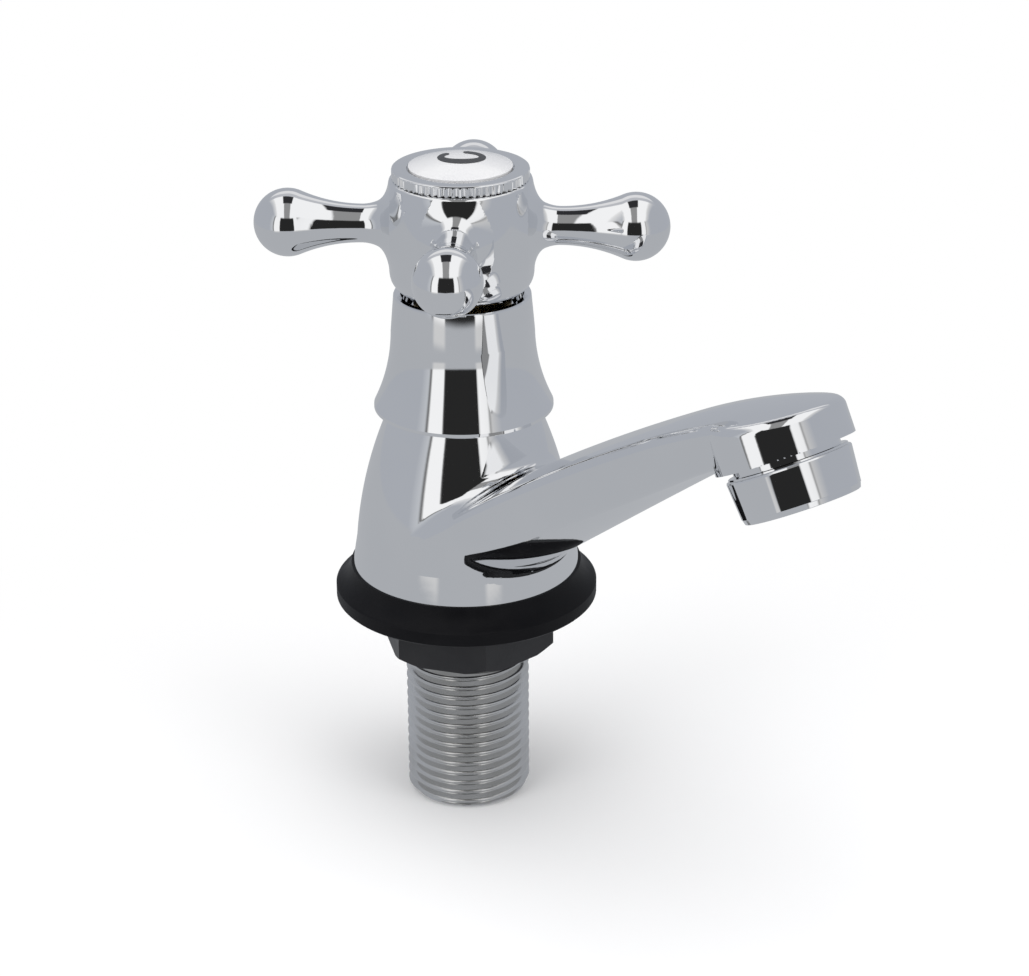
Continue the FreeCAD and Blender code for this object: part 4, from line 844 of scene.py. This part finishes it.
def end_pattern(tree, given, parts, radius, new_radius):
    """Moves each point out or in to its new radius, and ends the tree."""
    share = sum_of(tree, "DIVIDE", new_radius, radius)
    new_place = add_node(tree, "ShaderNodeCombineXYZ",
                         X=sum_of(tree, "MULTIPLY", parts["X"], share),
                         Y=sum_of(tree, "MULTIPLY", parts["Y"], share), Z=parts["Z"]).outputs[0]
    moved = add_node(tree, "GeometryNodeSetPosition",
                     Geometry=given["Geometry"], Position=new_place)
    real = add_node(tree, "GeometryNodeRealizeInstances", Geometry=moved.outputs[0])
    dressed = add_node(tree, "GeometryNodeSetMaterial",
                       Geometry=real.outputs[0], Material=given["Finish"])
    output = tree.nodes.new("NodeGroupOutput")
    tree.links.new(dressed.outputs[0], output.inputs[0])


def saw_of(tree, value):
    """1 on a crest, 0 halfway to the next, and straight between them."""
    share = sum_of(tree, "FRACT", value)
    doubled = sum_of(tree, "MULTIPLY", share, 2.0)
    return sum_of(tree, "ABSOLUTE", sum_of(tree, "SUBTRACT", doubled, 1.0))


def apply_pattern(piece, tree, sizes, finish):
    modifier = piece.modifiers.new(tree.name, "NODES")
    modifier.node_group = tree
    for socket in tree.interface.items_tree:
        if socket.in_out == "INPUT" and socket.name in sizes:
            modifier[socket.identifier] = sizes[socket.name]
        if socket.in_out == "INPUT" and socket.name == "Finish":
            modifier[socket.identifier] = finish
    shown = piece.evaluated_get(bpy.context.evaluated_depsgraph_get())
    mesh = bpy.data.meshes.new_from_object(shown)
    piece.modifiers.clear()
    piece.data = mesh
    piece.data.name = piece.name
    return piece


# %% [markdown]
# ## The threaded tail
# G 1/2 has a pitch of 1.814 mm and a depth of 1.162 mm, with rounded crests and roots. A
# straight zigzag that is eased at its turning points has the same flank angle, so one
# smoothstep gives the whole form. The thread can't stand out past the plain wall, which is why
# the chamfer at the tail's end cuts it off as a lathe tool does.

# %% The threaded tail
PITCH = 1.814
THREAD_DEPTH = 1.162
TAIL_RADIUS = 10.4775
tail_low, tail_high = (corner.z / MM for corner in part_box("threaded_tail"))
nut_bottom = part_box("backnut")[0].z / MM

thread, given, parts, turn, radius = start_pattern("thread_turns", {
    "Pitch": PITCH * MM, "Depth": THREAD_DEPTH * MM, "Outside": TAIL_RADIUS * MM,
    "Top": nut_bottom * MM})
lead = sum_of(thread, "SUBTRACT", sum_of(thread, "DIVIDE", parts["Z"], given["Pitch"]), turn)
crest = ease(thread, saw_of(thread, lead), 0.0, 1.0)
cut = sum_of(thread, "MULTIPLY", sum_of(thread, "SUBTRACT", 1.0, crest), given["Depth"])
faded = sum_of(thread, "MULTIPLY", cut, ease(
    thread, parts["Z"], given["Top"], sum_of(thread, "ADD", given["Top"], 1.0 * MM), 1.0, 0.0))
wall = sum_of(thread, "SUBTRACT", given["Outside"], faded)
end_pattern(thread, given, parts, radius, sum_of(thread, "MINIMUM", radius, wall))

TAIL_SECTION = [
    (7.2, tail_low), (9.4, tail_low), (TAIL_RADIUS, tail_low + 1.08), (TAIL_RADIUS, nut_bottom),
    (9.9, nut_bottom + 0.5), (9.9, FOOT), (9.3, FOOT), (9.3, tail_high), (7.2, tail_high)]
tail = turn_profile("threaded_tail_turns", TAIL_SECTION, 192, {1: 10, 2: 250, 3: 4})
apply_pattern(tail, thread, {}, satin_nickel)
shade(tail, 60)
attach(tail, "tap")
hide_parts("threaded_tail")
print("tail triangles", sum(len(face.vertices) - 2 for face in tail.data.polygons))

# %% [markdown]
# ## The knurled index ring
# The ring screws down on the hub by hand, so its rim is knurled with straight ribs. The wall is
# a plain turned profile with twelve points to a rib, and the tree presses a groove between each
# two ribs. The grooves fade out below the smooth upper edge.

# %% The knurled index ring
RIBS = 60
RIB_POINTS = 12
KNURL_DEPTH = 0.45
RING_RADIUS = 11.04
ring_low, ring_high = (corner.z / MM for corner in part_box("index_ring"))
rim_low = ring_high - 1.78

knurl, given, parts, turn, radius = start_pattern("knurl_ribs", {
    "Ribs": RIBS, "Depth": KNURL_DEPTH * MM, "Outside": RING_RADIUS * MM,
    "High": (ring_high - 0.16) * MM})
saw = saw_of(knurl, sum_of(knurl, "MULTIPLY", turn, given["Ribs"]))
rib = add_node(knurl, "ShaderNodeMapRange", Value=saw,
               From_Min=0.0, From_Max=0.8, To_Min=1.0, To_Max=0.0).outputs[0]
under = ease(knurl, parts["Z"], sum_of(knurl, "SUBTRACT", given["High"], 0.16 * MM),
             given["High"], 1.0, 0.0)
outer = ease(knurl, radius, sum_of(knurl, "SUBTRACT", given["Outside"], 0.9 * MM),
             sum_of(knurl, "SUBTRACT", given["Outside"], 0.25 * MM))
groove = sum_of(knurl, "MULTIPLY", sum_of(knurl, "MULTIPLY", rib, outer), under)
end_pattern(knurl, given, parts, radius,
            sum_of(knurl, "SUBTRACT", radius, sum_of(knurl, "MULTIPLY", groove, given["Depth"])))

seat = ring_high - 1.3
INDEX_SECTION = [
    (6.4, ring_low), (8.95, ring_low), (8.95, rim_low), (10.8, rim_low), (10.98, rim_low + 0.06),
    (RING_RADIUS, rim_low + 0.2), (RING_RADIUS, ring_high - 0.32), (10.98, ring_high - 0.14),
    (10.84, ring_high - 0.04), (10.66, ring_high), (8.66, ring_high), (8.58, ring_high - 0.06),
    (8.58, seat), (6.4, seat)]
ring = turn_profile("knurled_ring", INDEX_SECTION, RIBS * RIB_POINTS, {3: 2, 5: 20, 6: 4})
apply_pattern(ring, knurl, {}, chrome)
shade(ring, 34)
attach(ring, "handle")
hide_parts("index_ring")
print("ring triangles", sum(len(face.vertices) - 2 for face in ring.data.polygons))

# %% [markdown]
# ## The mark on the disc
# A plain open ring in dark grey tells that this is the cold tap. It lies on the dome like a
# thin layer of paint: every point of a flat ribbon is lifted to the dome's height, and the
# ribbon gets a little thickness so that it is a closed piece. The stroke is wider where the pen
# of a drawn letter would be, at the near and far side.

# %% The mark on the disc
disc_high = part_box("index_disc")[1].z / MM
DISC_RADIUS = 8.36
DOME = 1.4
dome_radius = (DISC_RADIUS**2 + DOME**2) / (2 * DOME)
MARK_HALF = (3.3, 2.55)
STROKE = (1.15, 1.9)
MARK_PLACE = (0.2, 0.3)
PAINT, SUNK = 0.05, -0.02
RIBBON = [(-1, SUNK), (-1, PAINT), (-0.5, PAINT), (0, PAINT), (0.5, PAINT), (1, PAINT), (1, SUNK)]
MARK_GAP = (math.radians(86), math.radians(130))
MARK_STEPS = 96


def on_dome(across, away, lift):
    """A point of the disc's top, across to the lens's right and away from the lens."""
    x = across * math.cos(CAMERA_TURN) - away * math.sin(CAMERA_TURN)
    y = across * math.sin(CAMERA_TURN) + away * math.cos(CAMERA_TURN)
    drop = dome_radius - math.sqrt(dome_radius**2 - x * x - y * y)
    return x * MM, y * MM, (disc_high - drop + lift) * MM


mark_shape = bmesh.new()
rows = []
for step in range(MARK_STEPS + 1):
    angle = MARK_GAP[1] + (2 * math.pi + MARK_GAP[0] - MARK_GAP[1]) * step / MARK_STEPS
    from_end = min(1.0, min(step, MARK_STEPS - step) / 4)
    fullness = max(math.sqrt(1 - (1 - from_end)**2), 0.3)
    row = []
    for offset, lift in RIBBON:
        half = offset * fullness / 2
        row.append(mark_shape.verts.new(on_dome(
            MARK_PLACE[0] + (MARK_HALF[0] + half * STROKE[0]) * math.cos(angle),
            MARK_PLACE[1] + (MARK_HALF[1] + half * STROKE[1]) * math.sin(angle), lift)))
    rows.append(row)
for row, after in zip(rows, rows[1:]):
    for k in range(len(row)):
        n = (k + 1) % len(row)
        mark_shape.faces.new((row[k], row[n], after[n], after[k]))
mark_shape.faces.new(rows[0])
mark_shape.faces.new(rows[-1])
bmesh.ops.recalc_face_normals(mark_shape, faces=mark_shape.faces)
mark_mesh = bpy.data.meshes.new("cold_mark")
mark_shape.to_mesh(mark_mesh)
mark_shape.free()
mark_mesh.materials.append(mark_paint)
mark = bpy.data.objects.new("cold_mark", mark_mesh)
bpy.context.scene.collection.objects.link(mark)
shade(mark, 40)
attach(mark, "handle")

# %% [markdown]
# ## Finish
# The view is set to show colours as written.

# %% Finish
bpy.context.scene.view_settings.view_transform = "Standard"
